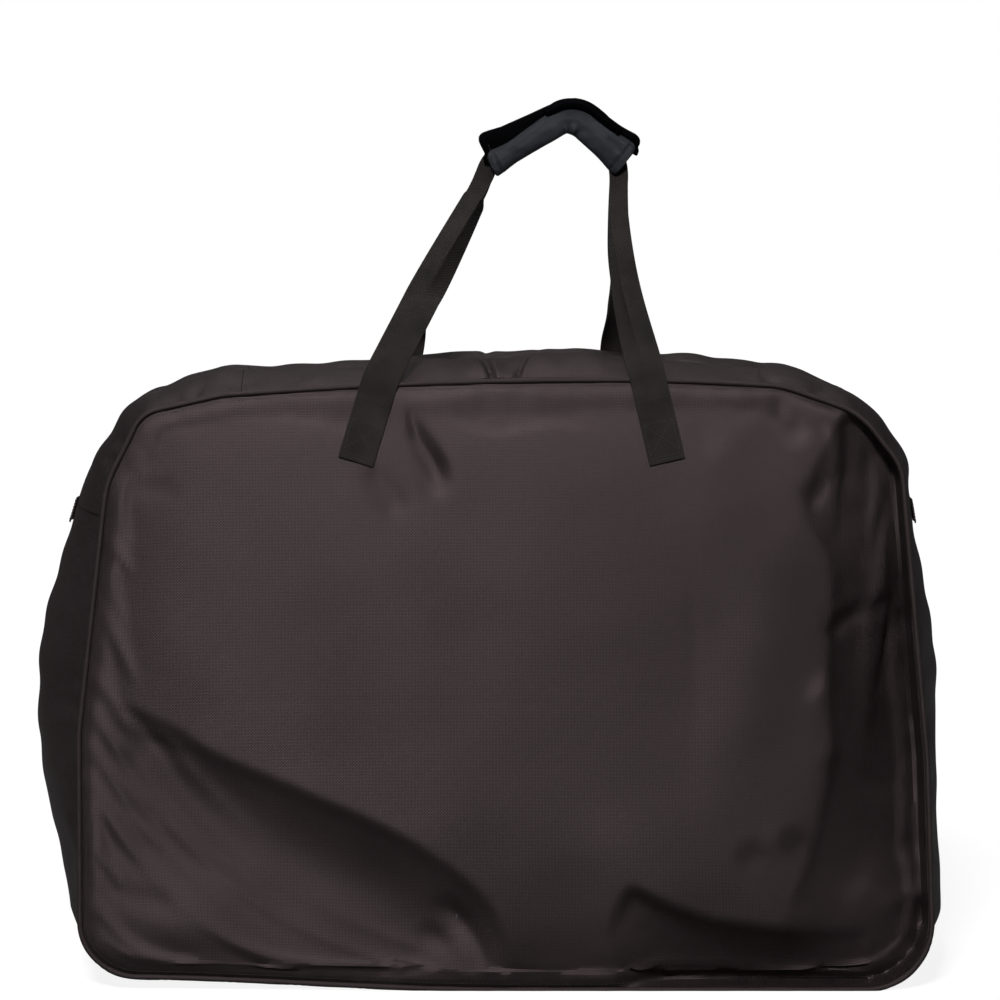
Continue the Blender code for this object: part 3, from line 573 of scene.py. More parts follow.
class Bench:
    """Modelling steps in Blender's own operators."""

    FACES_ASKED = 400
    SHARP_ANGLE = math.radians(60)
    CLOTH_FRAMES = 24

    @staticmethod
    def clear_selection() -> None:
        """Deselects everything, in object mode."""
        if bpy.context.object and bpy.context.object.mode != "OBJECT":
            bpy.ops.object.mode_set(mode="OBJECT")
        bpy.ops.object.select_all(action="DESELECT")

    @staticmethod
    def pick(obj: bpy.types.Object) -> None:
        """Selects one object and makes it active.

        Args:
            obj: The object.
        """
        Bench.clear_selection()
        obj.select_set(True)
        bpy.context.view_layer.objects.active = obj

    @staticmethod
    def grid(name: str, u: Array, v: Array, place: Place, cloth: Place | None = None) -> bpy.types.Object:
        """A grid of cloth: a grid primitive whose points are drawn to their places.

        Args:
            name: The piece's name.
            u: First coordinates, one for each row of points.
            v: Second coordinates, one for each column.
            place: Gives the points, (rows, columns, 3), from both coordinates.
            cloth: Gives the UV places in metres, (rows, columns, 2). The coordinates themselves if left out.

        Returns:
            The new object, at the origin.
        """
        rows, columns = len(u), len(v)
        Bench.clear_selection()
        bpy.ops.mesh.primitive_grid_add(
            x_subdivisions=rows - 1, y_subdivisions=columns - 1, size=2, calc_uvs=True
        )
        obj = bpy.context.object
        obj.name = name
        obj.data.name = name
        flat = Bench.points(obj)
        row = np.rint((flat[:, 0] + 1) / 2 * (rows - 1)).astype(int)
        column = np.rint((flat[:, 1] + 1) / 2 * (columns - 1)).astype(int)
        uu, vv = np.meshgrid(u, v, indexing="ij")
        points = place(uu, vv)[row, column]
        obj.data.vertices.foreach_set("co", points.ravel())
        cloth_places = cloth(uu, vv) if cloth else np.stack((uu, vv), axis=-1)
        layer = obj.data.uv_layers[0]
        layer.name = UV_MAP
        loops = np.zeros(len(obj.data.loops), int)
        obj.data.loops.foreach_get("vertex_index", loops)
        layer.data.foreach_set("uv", cloth_places[row, column][loops].ravel())
        obj.data.update()
        Bench.smooth(obj)
        return obj

    @staticmethod
    def smooth(obj: bpy.types.Object, angle: float = 50.0) -> None:
        """Shades a piece smooth but for its sharp edges."""
        Bench.pick(obj)
        bpy.ops.object.shade_smooth_by_angle(angle=math.radians(angle))

    @staticmethod
    def finish_with(obj: bpy.types.Object, kind: str, **settings: object) -> None:
        """Adds a modifier and applies it.

        Args:
            obj: The piece.
            kind: The modifier's Blender type.
            settings: Its properties.
        """
        modifier = obj.modifiers.new(kind.title(), kind)
        for key, value in settings.items():
            setattr(modifier, key, value)
        Bench.pick(obj)
        bpy.ops.object.modifier_apply(modifier=modifier.name)

    @staticmethod
    def round_edges(obj: bpy.types.Object, width: float, segments: int) -> None:
        """Rounds a piece's sharp edges.

        Args:
            obj: The piece.
            width: Of the rounding, in metres.
            segments: Of the rounding.
        """
        limit = {"limit_method": "ANGLE", "angle_limit": Bench.SHARP_ANGLE}
        Bench.finish_with(obj, "BEVEL", width=width, segments=segments, **limit)

    @staticmethod
    def thicken(obj: bpy.types.Object, thickness: float, way_out: Vector | None = None) -> None:
        """Gives a sheet its thickness on its inner side, away from the way out.

        Args:
            obj: The sheet.
            thickness: In metres.
            way_out: A direction that most faces should look towards; they are flipped if they don't.
        """
        if way_out is not None:
            Bench.face_towards(obj, lambda centre: way_out)
        Bench.finish_with(obj, "SOLIDIFY", thickness=thickness, offset=-1.0, use_even_offset=False)

    @staticmethod
    def face_towards(obj: bpy.types.Object, way: Callable[[Vector], Vector]) -> None:
        """Flips the whole sheet if its faces look against the way out at their places.

        Args:
            obj: The sheet.
            way: Gives the way out at a face's centre.
        """
        score = 0.0
        faces = obj.data.polygons
        for index in range(0, len(faces), max(1, len(faces) // Bench.FACES_ASKED)):
            polygon = faces[index]
            score += polygon.normal.dot(way(polygon.center)) * polygon.area
        if score < 0:
            Bench.pick(obj)
            bpy.ops.object.mode_set(mode="EDIT")
            bpy.ops.mesh.select_all(action="SELECT")
            bpy.ops.mesh.flip_normals()
            bpy.ops.object.mode_set(mode="OBJECT")

    @staticmethod
    def points(obj: bpy.types.Object) -> Array:
        """The piece's points as an array.

        Args:
            obj: The piece.

        Returns:
            Its points, (count, 3).
        """
        co = np.zeros(len(obj.data.vertices) * 3)
        obj.data.vertices.foreach_get("co", co)
        return co.reshape(-1, 3)

    @staticmethod
    def set_points(obj: bpy.types.Object, points: Array) -> None:
        """Writes the piece's points back."""
        obj.data.vertices.foreach_set("co", points.ravel())
        obj.data.update()

    @staticmethod
    def settle(obj: bpy.types.Object, held: Array, slack: float, cap: float) -> None:
        """Lets a sheet of cloth settle with its held points pinned, and keeps the result.

        Args:
            obj: The sheet.
            held: A share from 0, free, to 1, pinned, for each point.
            slack: How much larger the cloth is cut than the space it covers, as a share.
            cap: The furthest that a point may move, in metres.
        """
        start = Bench.points(obj)
        group = obj.vertex_groups.new(name="held")
        for index, share in enumerate(held):
            if share > 0:
                group.add([index], float(share), "REPLACE")
        modifier = obj.modifiers.new("Cloth", "CLOTH")
        cloth = modifier.settings
        cloth.quality = 6
        cloth.mass = 0.4
        cloth.tension_stiffness = 25.0
        cloth.compression_stiffness = 25.0
        cloth.shear_stiffness = 12.0
        cloth.bending_stiffness = 1.2
        cloth.vertex_group_mass = "held"
        cloth.pin_stiffness = 2.0
        cloth.shrink_min = -slack
        modifier.collision_settings.use_collision = False
        modifier.point_cache.frame_start = 1
        modifier.point_cache.frame_end = Bench.CLOTH_FRAMES
        for frame in range(1, Bench.CLOTH_FRAMES + 1):
            bpy.context.scene.frame_set(frame)
        Bench.pick(obj)
        bpy.ops.object.modifier_apply(modifier=modifier.name)
        bpy.context.scene.frame_set(1)
        move = Bench.points(obj) - start
        reach = np.linalg.norm(move, axis=1, keepdims=True)
        move *= np.minimum(1.0, cap / np.maximum(reach, 1e-9))
        Bench.set_points(obj, start + move)
        obj.vertex_groups.clear()


class Stitches:
    """Rows of thread: one stitch of few faces, repeated and laid along a line."""

    LENGTH = 0.0024
    WIDTH = 0.0007
    HEIGHT = 0.0005

    @classmethod
    def set(
        cls,
        name: str,
        centres: Array,
        along: Array,
        facing: Array,
        finishes: Finishes,
        body: Body,
        size: tuple[float, float, float] | None = None,
        finish: str = THREAD,
    ) -> bpy.types.Object:
        """Lays one row.

        Args:
            name: The row's name.
            centres: Each stitch's place, (count, 3).
            along: The way that the stitches run, one for all or one each.
            facing: The way out of the cloth, one for all or one each.
            finishes: Gives the thread's finish.
            body: The body that it rides on.
            size: Length, width and height of a stitch.
            finish: The material slot.

        Returns:
            The row.
        """
        length, width, height = size or (cls.LENGTH, cls.WIDTH, cls.HEIGHT)
        count = len(centres)
        Bench.clear_selection()
        bpy.ops.mesh.primitive_uv_sphere_add(segments=6, ring_count=5, radius=1.0)
        obj = bpy.context.object
        obj.name = name
        obj.data.name = name
        shape = Bench.points(obj)
        Bench.finish_with(obj, "ARRAY", count=count, relative_offset_displace=(2.0, 0.0, 0.0))
        along = unit(np.broadcast_to(np.asarray(along, float), (count, 3)))
        facing = np.broadcast_to(np.asarray(facing, float), (count, 3))
        across = unit(np.cross(facing, along))
        facing = np.cross(along, across)
        scaled = shape[None, :, [2, 0, 1]] * np.array([length, width, height]) / 2
        laid = centres[:, None]
        for axis, way in enumerate((along, across, facing)):
            laid = laid + scaled[..., axis : axis + 1] * way[:, None]
        Bench.set_points(obj, laid.reshape(-1, 3))
        Bench.smooth(obj, 80.0)
        finishes.dress(obj, finish)
        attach(obj, body.value)
        return obj


@dataclass
class SeamLine:
    """The closed line along which the front and rear panels are sewn, seen square on.

    Attributes:
        corners: Points (x, z) where its straight lines would meet.
        radii: The rounding at each of them.
        step: The longest piece of it between two samples.
        arc_step: The largest turn between two samples.
        x: The samples' places across.
        z: Their heights.
        nx: The outward normal there, across.
        nz: The same, upwards.
        run: The length along the line up to each sample.
    """

    corners: Sequence[tuple[float, float]]
    radii: Sequence[float]
    step: float = 0.004
    arc_step: float = math.radians(3)
    x: Array = field(init=False)
    z: Array = field(init=False)
    nx: Array = field(init=False)
    nz: Array = field(init=False)
    run: Array = field(init=False)

    def __post_init__(self) -> None:
        """Rounds the corners and samples the line."""
        rows: list[tuple[float, float, float, float]] = []
        count = len(self.corners)
        for i, (x, z) in enumerate(self.corners):
            before = Vector(self.corners[i - 1])
            after = Vector(self.corners[(i + 1) % count])
            here = Vector((x, z))
            coming = (here - before).normalized()
            going = (after - here).normalized()
            turn = math.atan2(coming.x * going.y - coming.y * going.x, coming.dot(going))
            way = math.copysign(1, turn)
            back = self.radii[i] * math.tan(abs(turn) / 2)
            hub = here - coming * back + way * self.radii[i] * Vector((-coming.y, coming.x))
            steps = max(2, math.ceil(abs(turn) / self.arc_step))
            for k in range(steps + 1):
                angle = turn * k / steps
                nx = coming.y * math.cos(angle) + coming.x * math.sin(angle)
                nz = -coming.x * math.cos(angle) + coming.y * math.sin(angle)
                reach = way * self.radii[i]
                rows.append((hub.x + reach * nx, hub.y + reach * nz, nx, nz))
        rows.append(rows[0])
        line = np.array(rows)
        filled = [line[0]]
        for a, b in zip(line, line[1:]):
            pieces = max(1, math.ceil(math.hypot(*(b - a)[:2]) / self.step))
            filled += [a + (b - a) * k / pieces for k in range(1, pieces + 1)]
        line = np.array(filled)
        self.x, self.z, self.nx, self.nz = line.T
        self.run = flat_runs(line[:, :2])

    @property
    def length(self) -> float:
        """The line's whole length."""
        return float(self.run[-1])

    def at(self, run: Array) -> tuple[Array, Array, Array, Array]:
        """Place and outward normal at each run.

        Args:
            run: Lengths along the line; past its end it goes round again.

        Returns:
            x, z and the normal's x and z.
        """
        run = np.mod(run, self.length)
        x, z, nx, nz = (np.interp(run, self.run, row) for row in (self.x, self.z, self.nx, self.nz))
        size = np.hypot(nx, nz)
        return x, z, nx / size, nz / size

    def run_near(self, x: float, z: float) -> float:
        """The run of the point on the line nearest to a place."""
        return float(self.run[np.argmin(np.hypot(self.x - x, self.z - z))])


@dataclass(frozen=True)
class Fold:
    """A fold in a panel along a path, seen from outside.

    Attributes:
        path: Points (x, z) that it follows.
        drop: How far the cloth falls in across it, in metres. A negative one rises.
        width: Length of the slope where it falls.
        back: Length of the slope where it comes back out; 0 for a plain crease, as wide on both sides.
        fade: Share of the path's length over which it starts and ends.
    """

    path: Sequence[tuple[float, float]]
    drop: float
    width: float
    back: float = 0.0
    fade: float = 0.25

    def read(self, x: Array, z: Array) -> Array:
        """How far it moves the cloth outwards at each place.

        Args:
            x: Places across.
            z: Heights.

        Returns:
            The move, outwards positive.
        """
        line = self.smooth_path()
        starts, ends = line[:-1], line[1:]
        spans = ends - starts
        lengths = np.maximum(np.linalg.norm(spans, axis=1), 1e-9)
        runs = np.concatenate(([0.0], np.cumsum(lengths)))
        best = np.full(x.shape, 1e9)
        signed = np.zeros(x.shape)
        share = np.zeros(x.shape)
        for start, span, length, run in zip(starts, spans, lengths, runs):
            dx = x - start[0]
            dz = z - start[1]
            t = np.clip((dx * span[0] + dz * span[1]) / length**2, 0, 1)
            off_x = dx - span[0] * t
            off_z = dz - span[1] * t
            distance = np.hypot(off_x, off_z)
            closer = distance < best
            side = np.sign(off_x * span[1] - off_z * span[0])
            best = np.where(closer, distance, best)
            signed = np.where(closer, distance * np.where(side == 0, 1, side), signed)
            share = np.where(closer, (run + t * length) / runs[-1], share)
        ends_fade = smooth(0, self.fade, share) * smooth(0, self.fade, 1 - share)
        if self.back <= 0:
            return -self.drop * np.exp(-((best / self.width) ** 2)) * ends_fade
        width = self.width * (0.35 + 0.65 * smooth(0, 0.5, share))
        t = np.clip((signed + width * 0.12) / (width * 1.12), 0, 1)
        early = (1 - (1 - t) ** 2.2) * smooth(0, 0.20, t)
        fall = 0.35 * smooth(0, 1, t) + 0.65 * early
        rise = 1 - smooth(0, self.back, signed - width)
        return -self.drop * fall * rise * ends_fade

    def smooth_path(self) -> Array:
        """The path drawn as a smooth line through its points.

        Returns:
            The line's points.
        """
        points = np.array(self.path, float)
        if len(points) < 3:
            return points
        padded = np.vstack((2 * points[0] - points[1], points, 2 * points[-1] - points[-2]))
        line = []
        for a, b, c, d in zip(padded, padded[1:], padded[2:], padded[3:]):
            for t in np.linspace(0, 1, 6, endpoint=False):
                square, cube = 2 * a - 5 * b + 4 * c - d, 3 * b - 3 * c + d - a
                line.append(0.5 * (2 * b + (c - a) * t + square * t**2 + cube * t**3))
        return np.vstack((line, points[-1]))


@dataclass
class BagForm:
    """The bag's sizes, as its solids have them, and the surfaces that its cloth follows."""

    seam_width: float = 0.896
    seam_height: float = 0.640
    base_depth: float = 0.250
    top_depth: float = 0.200
    panel_crown: float = 0.022
    side_crown: float = 0.016
    left_swell: float = 0.040
    left_spread: float = 0.165
    right_swell: float = 0.024
    right_spread: float = 0.115
    swell_height: float = 0.365
    top_crown: float = 0.006
    strip_crest: float = 0.007
    shift: float = -0.0017810
    zip_end_height: float = 0.500
    foot_seam_height: float = 0.085
    mouth_left: float = 0.262
    mouth_right: float = 0.280
    zip_reveal: float = 0.0090
    tape_width: float = 0.0160
    edge_inset: float = 0.0018
    arch_x: float = 0.12
    left_droop: float = 0.0150
    right_droop: float = 0.0065
    base_rise: float = 0.0140
    crest_rise: float = 0.0120
    crest_x: float = 0.07
    crest_spread: float = 0.18
    right_crest: float = 0.85
    top_hold: float = 0.72
    right_hold: float = 0.6
    mean_droop: float = 0.0060
    droop_tilt: float = 0.0178
    zip_climb: float = 0.143
    seam: SeamLine = field(init=False)

    # The seam's corners: x over its width, z over its height, and the rounding in metres.
    CORNERS = (
        (-0.3125, 1.000, 0.080),
        (-0.4107, 0.969, 0.034),
        (-0.4510, 0.828, 0.150),
        (-0.4844, 0.422, 0.150),
        (-0.4844, 0.000, 0.060),
        (0.5156, 0.000, 0.070),
        (0.5067, 0.375, 0.150),
        (0.4743, 0.867, 0.080),
        (0.4297, 0.9656, 0.060),
        (0.3348, 1.000, 0.080),
    )

    # How far the sides stand out beyond the solids, as height and move, from low to high.
    LEFT_SLUMP = (
        (0.02, 0.0),
        (0.07, 0.004),
        (0.13, 0.010),
        (0.195, 0.0195),
        (0.24, 0.0140),
        (0.30, 0.006),
        (0.42, 0.0),
    )
    RIGHT_SLUMP = (
        (0.04, 0.002),
        (0.09, 0.005),
        (0.16, 0.001),
        (0.20, 0.0),
        (0.235, -0.006),
        (0.30, -0.0065),
        (0.345, -0.012),
        (0.387, -0.0165),
        (0.46, -0.0095),
        (0.52, -0.0078),
        (0.58, -0.0045),
        (0.62, 0.0),
    )

    def __post_init__(self) -> None:
        """Draws the seam line."""
        corners = [(x * self.seam_width - self.shift, z * self.seam_height) for x, z, _ in self.CORNERS]
        self.seam = SeamLine(corners, [radius for _, _, radius in self.CORNERS])
        self.seam.z = self.seam.z + self.sag(self.seam.x, self.seam.z)
        self.centre_x = 0.014 * self.seam_width - self.shift
        self.centre_z = 0.5 * self.seam_height
        seam = self.seam
        angles, reach = self.polar(seam.x[:-1], seam.z[:-1])
        order = np.argsort(angles)
        self.angles = angles[order]
        self.reach = reach[order]
        self.left_zip_end = seam.run_near(-0.408, self.zip_end_height)
        self.left_foot = seam.run_near(-0.4322, self.foot_seam_height)
        self.right_foot = seam.run_near(0.4638, self.foot_seam_height)
        self.right_zip_end = seam.run_near(0.4330, self.zip_end_height)
        self.right_mouth = seam.run_near(self.mouth_right, self.seam_height)
        self.left_mouth = seam.run_near(-self.mouth_left, self.seam_height)

    def sag(self, x: Array, z: Array) -> Array:
        """How far soft cloth hangs above or below the solids' straight top and base.

        Args:
            x: Places across.
            z: Heights.

        Returns:
            The rise, which is negative at the shoulders and positive under the base's left end.
        """
        top = -self.droop(x) * smooth(0.52, 0.62, z)
        base = self.base_rise * (1 - smooth(-0.40, 0.02, x)) * (1 - smooth(0.0, 0.20, z))
        return top + base

    def depth_at(self, z: Array) -> Array:
        """The bag's depth from seam to seam at a height."""
        return self.base_depth + (self.top_depth - self.base_depth) * z / self.seam_height

    def polar(self, x: Array, z: Array) -> tuple[Array, Array]:
        """The direction and the distance of a place from the panel's middle."""
        off_x, off_z = x - self.centre_x, z - self.centre_z
        return np.arctan2(off_z, off_x), np.hypot(off_z, off_x)

    def to_seam(self, x: Array, z: Array) -> tuple[Array, Array]:
        """The distances from the panel's middle to a place, and on to the seam in the same direction."""
        angle, reach = self.polar(x, z)
        return reach, np.interp(angle, self.angles, self.reach, period=2 * math.pi)

    def reach_share(self, x: Array, z: Array) -> Array:
        """How far a place lies from the panel's middle, as a share of the way to the seam."""
        reach, edge = self.to_seam(x, z)
        return reach / edge

    def margin(self, x: Array, z: Array) -> Array:
        """How far a place lies inside the seam, towards the panel's middle."""
        reach, edge = self.to_seam(x, z)
        return edge - reach

    def panel_y(self, x: Array, z: Array) -> Array:
        """How far the plain panel stands from the middle plane."""
        share = np.minimum(self.reach_share(x, z), 1.0)
        return self.depth_at(z) / 2 + self.panel_crown * (1 - share**3)

    @staticmethod
    def slump(z: Array, table: tuple[tuple[float, float], ...]) -> Array:
        """How far the load presses a side out, or leaves it slack, at a height.

        Args:
            z: Heights.
            table: Heights and the moves there, from low to high.

        Returns:
            The move, outwards positive.
        """
        heights, moves = zip(*table)
        fine = np.linspace(heights[0], heights[-1], 200)
        even = np.interp(fine, heights, moves)
        soften(even, 60)
        return np.interp(z, fine, even)

    def swell(self, z: Array, nx: Array, nz: Array) -> Array:
        """How far the gusset stands out halfway between its seams.

        Args:
            z: Heights.
            nx: The seam's outward normal there, across.
            nz: The same, upwards.

        Returns:
            The distance, along the normal.
        """
        amount = np.where(nx < 0, self.left_swell, self.right_swell)
        spread = np.where(nx < 0, self.left_spread, self.right_spread)
        side = self.side_crown + amount * np.exp(-(((z - self.swell_height) / spread) ** 2))
        left, right = self.slump(z, self.LEFT_SLUMP), self.slump(z, self.RIGHT_SLUMP)
        side = side + np.where(nx < 0, left, right)
        crown = self.top_crown + (side - self.top_crown) * np.abs(nx)
        return crown * (1 - np.maximum(-nz, 0))

    def crest(self, z: Array, y: Array) -> Array:
        """How far the padded strips beside the zip rise, at a distance from the middle plane.

        Args:
            z: Heights.
            y: Distances from the middle plane.

        Returns:
            The rise, as the solids have it.
        """
        half = self.depth_at(z) / 2
        across = (half - np.abs(y)) / (half - self.tape_width)
        height_share = (z - self.zip_end_height) / (self.seam_height - self.zip_end_height)
        rise = self.strip_crest * height_share * np.sin(math.pi * np.clip(across, 0, 1))
        return np.where((across < 1) & (height_share > 0), rise, 0.0)

    def hold(self, x: Array, z: Array, y: Array) -> Array:
        """How far the top stands above its drooping seams, so that the zip stays almost straight.

        Args:
            x: Places across.
            z: Heights.
            y: Distances from the middle plane.

        Returns:
            The rise.
        """
        inside = 1 - np.clip(np.abs(y) / (self.depth_at(z) / 2), 0, 1)
        share = np.where(x < self.arch_x, self.top_hold, self.top_hold * self.right_hold)
        return share * self.droop(x) * smooth(0.598, 0.626, z) * np.sin(math.pi / 2 * inside) ** 0.7

    def droop(self, x: Array) -> Array:
        """How far the seams hang at the shoulders.

        Args:
            x: Places across.

        Returns:
            The drop.
        """
        left = np.clip((self.arch_x - x) / 0.39, 0, 1.0)
        right = np.clip((x - self.arch_x) / 0.18, 0, 1.5)
        return self.left_droop * left**2 + self.right_droop * right**2

    def puff(self, x: Array, z: Array, y: Array) -> Array:
        """How far the strips' padding stands above the solids' crest, most in the middle of the top.

        Args:
            x: Places across.
            z: Heights.
            y: Distances from the middle plane.

        Returns:
            The rise.
        """
        half = self.depth_at(z) / 2
        across = np.clip((half - np.abs(y)) / (half - self.zip_reveal), 0, 1)
        spread = np.where(x < self.crest_x, self.crest_spread, self.crest_spread * self.right_crest)
        along = np.exp(-(((x - self.crest_x) / spread) ** 2))
        return self.crest_rise * along * smooth(0.60, 0.635, z) * np.sin(math.pi * across) ** 0.8

    def gusset_point(self, run: Array, y: Array, lift: Array) -> Array:
        """Points on the gusset.

        Args:
            run: Length along the seam.
            y: Distance from the middle plane, towards the rear.
            lift: Distance out from the plain surface.

        Returns:
            The points, with a last axis of 3.
        """
        x, z, nx, nz = self.seam.at(run)
        share = 0.5 + y / self.depth_at(z)
        reach = self.swell(z, nx, nz) * np.sin(math.pi * share)
        reach = reach + self.crest(z, y) + self.hold(x, z, y) + lift
        return np.stack((x + nx * reach, y, z + nz * reach), axis=-1)


@dataclass
class PanelCloth:
    """The front and rear panels: padded cloth with the folds that carrying gives it."""

    form: BagForm
    rows: int = 181
    columns: int = 131
    lift: float = 0.009
    cloth: float = 0.0015
    lining_depth: float = 0.0061
    seam_roll: float = 0.0060
    brow_drop: float = 0.036
    seam_room: float = 0.008
    lining_room: float = 0.010
    lining_inset: float = 0.0045
    surfaces: dict[Side, BVHTree] = field(default_factory=dict)

    FRONT_FOLDS = (
        # The long diagonal below the load, with the small creases at its two ends.
        Fold(
            (
                (-0.430, 0.318),
                (-0.345, 0.284),
                (-0.293, 0.252),
                (-0.200, 0.212),
                (-0.096, 0.165),
                (-0.010, 0.100),
                (0.030, 0.012),
            ),
            0.026, 0.078, 0.130, 0.16,
        ),
        Fold(((-0.405, 0.300), (-0.350, 0.268), (-0.300, 0.240)), 0.004, 0.010, 0.0, 0.3),
        Fold(((-0.060, 0.105), (-0.020, 0.062), (-0.005, 0.015)), 0.006, 0.010, 0.0, 0.25),
        Fold(((-0.075, 0.075), (-0.050, 0.045), (-0.030, 0.012)), 0.003, 0.010, 0.0, 0.25),
        # Creases across the slack right end.
        Fold(((0.346, 0.372), (0.380, 0.396), (0.430, 0.406)), 0.010, 0.009, 0.0, 0.15),
        Fold(((0.352, 0.392), (0.392, 0.416), (0.430, 0.424)), -0.004, 0.010, 0.0, 0.2),
        Fold(((0.322, 0.508), (0.366, 0.550), (0.418, 0.564)), 0.008, 0.010, 0.0, 0.15),
        Fold(((0.340, 0.486), (0.370, 0.470), (0.400, 0.440)), 0.004, 0.012, 0.0, 0.25),
        Fold(((0.330, 0.330), (0.380, 0.300), (0.430, 0.296)), -0.005, 0.016, 0.0, 0.2),
        Fold(((0.345, 0.250), (0.390, 0.215), (0.440, 0.205)), 0.006, 0.014, 0.0, 0.2),
        # The hollow above the base at the right.
        Fold(((0.140, 0.116), (0.205, 0.086), (0.280, 0.066), (0.400, 0.060)), 0.012, 0.030, 0.060, 0.06),
        Fold(((0.255, 0.160), (0.300, 0.118), (0.330, 0.075)), 0.005, 0.016, 0.0, 0.25),
        Fold(((0.300, 0.175), (0.350, 0.130), (0.400, 0.100)), 0.006, 0.018, 0.0, 0.25),
        # Short pulls below the top seam and beside the handles.
        Fold(
            ((-0.110, 0.630), (-0.096, 0.606), (-0.076, 0.576), (-0.060, 0.550), (-0.052, 0.515)),
            0.0130, 0.0115, 0.0, 0.3,
        ),
        Fold(((-0.128, 0.560), (-0.112, 0.530), (-0.085, 0.500)), 0.004, 0.012, 0.0, 0.3),
        Fold(((-0.380, 0.590), (-0.300, 0.618), (-0.210, 0.612), (-0.150, 0.598)), 0.005, 0.010, 0.0, 0.3),
        Fold(((-0.250, 0.618), (-0.170, 0.605), (-0.130, 0.580)), 0.004, 0.010, 0.0, 0.3),
        Fold(((-0.014, 0.638), (-0.010, 0.628), (-0.004, 0.616)), 0.0030, 0.006, 0.0, 0.3),
        Fold(((0.012, 0.638), (0.018, 0.628), (0.026, 0.618)), 0.0025, 0.006, 0.0, 0.3),
        Fold(((0.110, 0.588), (0.060, 0.594), (0.000, 0.584), (-0.060, 0.604)), 0.0040, 0.012, 0.050, 0.25),
        Fold(((0.190, 0.630), (0.215, 0.600), (0.235, 0.560)), 0.003, 0.012, 0.0, 0.3),
        Fold(((0.290, 0.632), (0.300, 0.605), (0.330, 0.575)), 0.007, 0.012, 0.0, 0.3),
        Fold(((-0.402, 0.545), (-0.360, 0.530), (-0.320, 0.525)), 0.003, 0.010, 0.0, 0.3),
        Fold(((-0.425, 0.200), (-0.380, 0.190), (-0.330, 0.170)), 0.004, 0.014, 0.0, 0.3),
        Fold(((-0.420, 0.120), (-0.370, 0.100), (-0.320, 0.095)), 0.004, 0.014, 0.0, 0.3),
        # Straight lines where the cloth lay folded in its packet.
        Fold(((-0.305, 0.308), (0.135, 0.306)), 0.0003, 0.0035, 0.0, 0.1),
        Fold(((0.205, 0.540), (0.210, 0.300), (0.206, 0.050)), 0.0004, 0.0035, 0.0, 0.1),
    )
    REAR_FOLDS = (
        Fold(((0.400, 0.330), (0.250, 0.260), (0.080, 0.210), (-0.100, 0.190)), 0.010, 0.045, 0.150, 0.25),
        Fold(((-0.300, 0.560), (-0.330, 0.420), (-0.320, 0.260)), 0.008, 0.050, 0.110, 0.25),
        Fold(((-0.380, 0.090), (-0.200, 0.060), (-0.050, 0.080)), 0.007, 0.030, 0.080, 0.25),
        Fold(((0.120, 0.600), (0.090, 0.540), (0.100, 0.480)), 0.004, 0.016, 0.0, 0.3),
        Fold(((-0.250, 0.306), (0.250, 0.304)), 0.0007, 0.0035, 0.0, 0.1),
    )

    # The edge of the load on the right, from low to high, and how far the slack cloth beyond it falls in.
    LOAD_EDGE = (
        (0.015, 0.280, 0.010),
        (0.060, 0.300, 0.034),
        (0.146, 0.330, 0.060),
        (0.254, 0.352, 0.068),
        (0.320, 0.346, 0.070),
        (0.386, 0.350, 0.064),
        (0.440, 0.352, 0.046),
        (0.465, 0.342, 0.040),
        (0.490, 0.324, 0.038),
        (0.506, 0.320, 0.038),
        (0.540, 0.330, 0.034),
        (0.593, 0.356, 0.016),
        (0.622, 0.372, 0.000),
    )

    # The load's lower edge on the right, from left to right, below which the cloth hangs back to the base.
    LOAD_BROW = (
        (0.120, 0.118),
        (0.170, 0.098),
        (0.230, 0.080),
        (0.300, 0.072),
        (0.380, 0.080),
        (0.450, 0.100),
    )

    def __post_init__(self) -> None:
        """Draws the panel's outline in four sides between its corners."""
        seam = self.form.seam
        wide = seam.x / (self.form.seam_width / 2)
        tall = (seam.z - self.form.centre_z) / self.form.centre_z
        corner = {}
        for key, sx, sz in (("tl", -1, 1), ("bl", -1, -1), ("br", 1, -1), ("tr", 1, 1)):
            corner[key] = float(seam.run[np.argmax(sx * wide + sz * tall)])
        self.left = self.side(corner["bl"], corner["tl"], self.columns)
        self.bottom = self.side(corner["bl"], corner["br"], self.rows)
        self.right = self.side(corner["br"], corner["tr"], self.columns)
        self.top = self.side(corner["tr"], corner["tl"] + seam.length, self.rows)[::-1]

    def side(self, start: float, end: float, count: int) -> Array:
        """Points (x, z) on the panel's edge from one run to another.

        Args:
            start: The first run.
            end: The last run.
            count: How many points.

        Returns:
            The points, (count, 2).
        """
        inset = self.form.edge_inset
        x, z, nx, nz = self.form.seam.at(np.linspace(start, end, count))
        return np.stack((x - nx * inset, z - nz * inset), axis=-1)

    def net(self) -> tuple[Array, Array]:
        """The panel's grid of places, drawn evenly between its four sides.

        Returns:
            x and z, (rows, columns).
        """
        u = np.linspace(0, 1, self.rows)[:, None, None]
        v = np.linspace(0, 1, self.columns)[None, :, None]
        low, high = self.bottom[:, None], self.top[:, None]
        left, right = self.left[None], self.right[None]
        corners = (1 - u) * (1 - v) * self.bottom[0] + u * (1 - v) * self.bottom[-1]
        corners = corners + (1 - u) * v * self.top[0] + u * v * self.top[-1]
        net = (1 - v) * low + v * high + (1 - u) * left + u * right - corners
        return net[..., 0], net[..., 1]

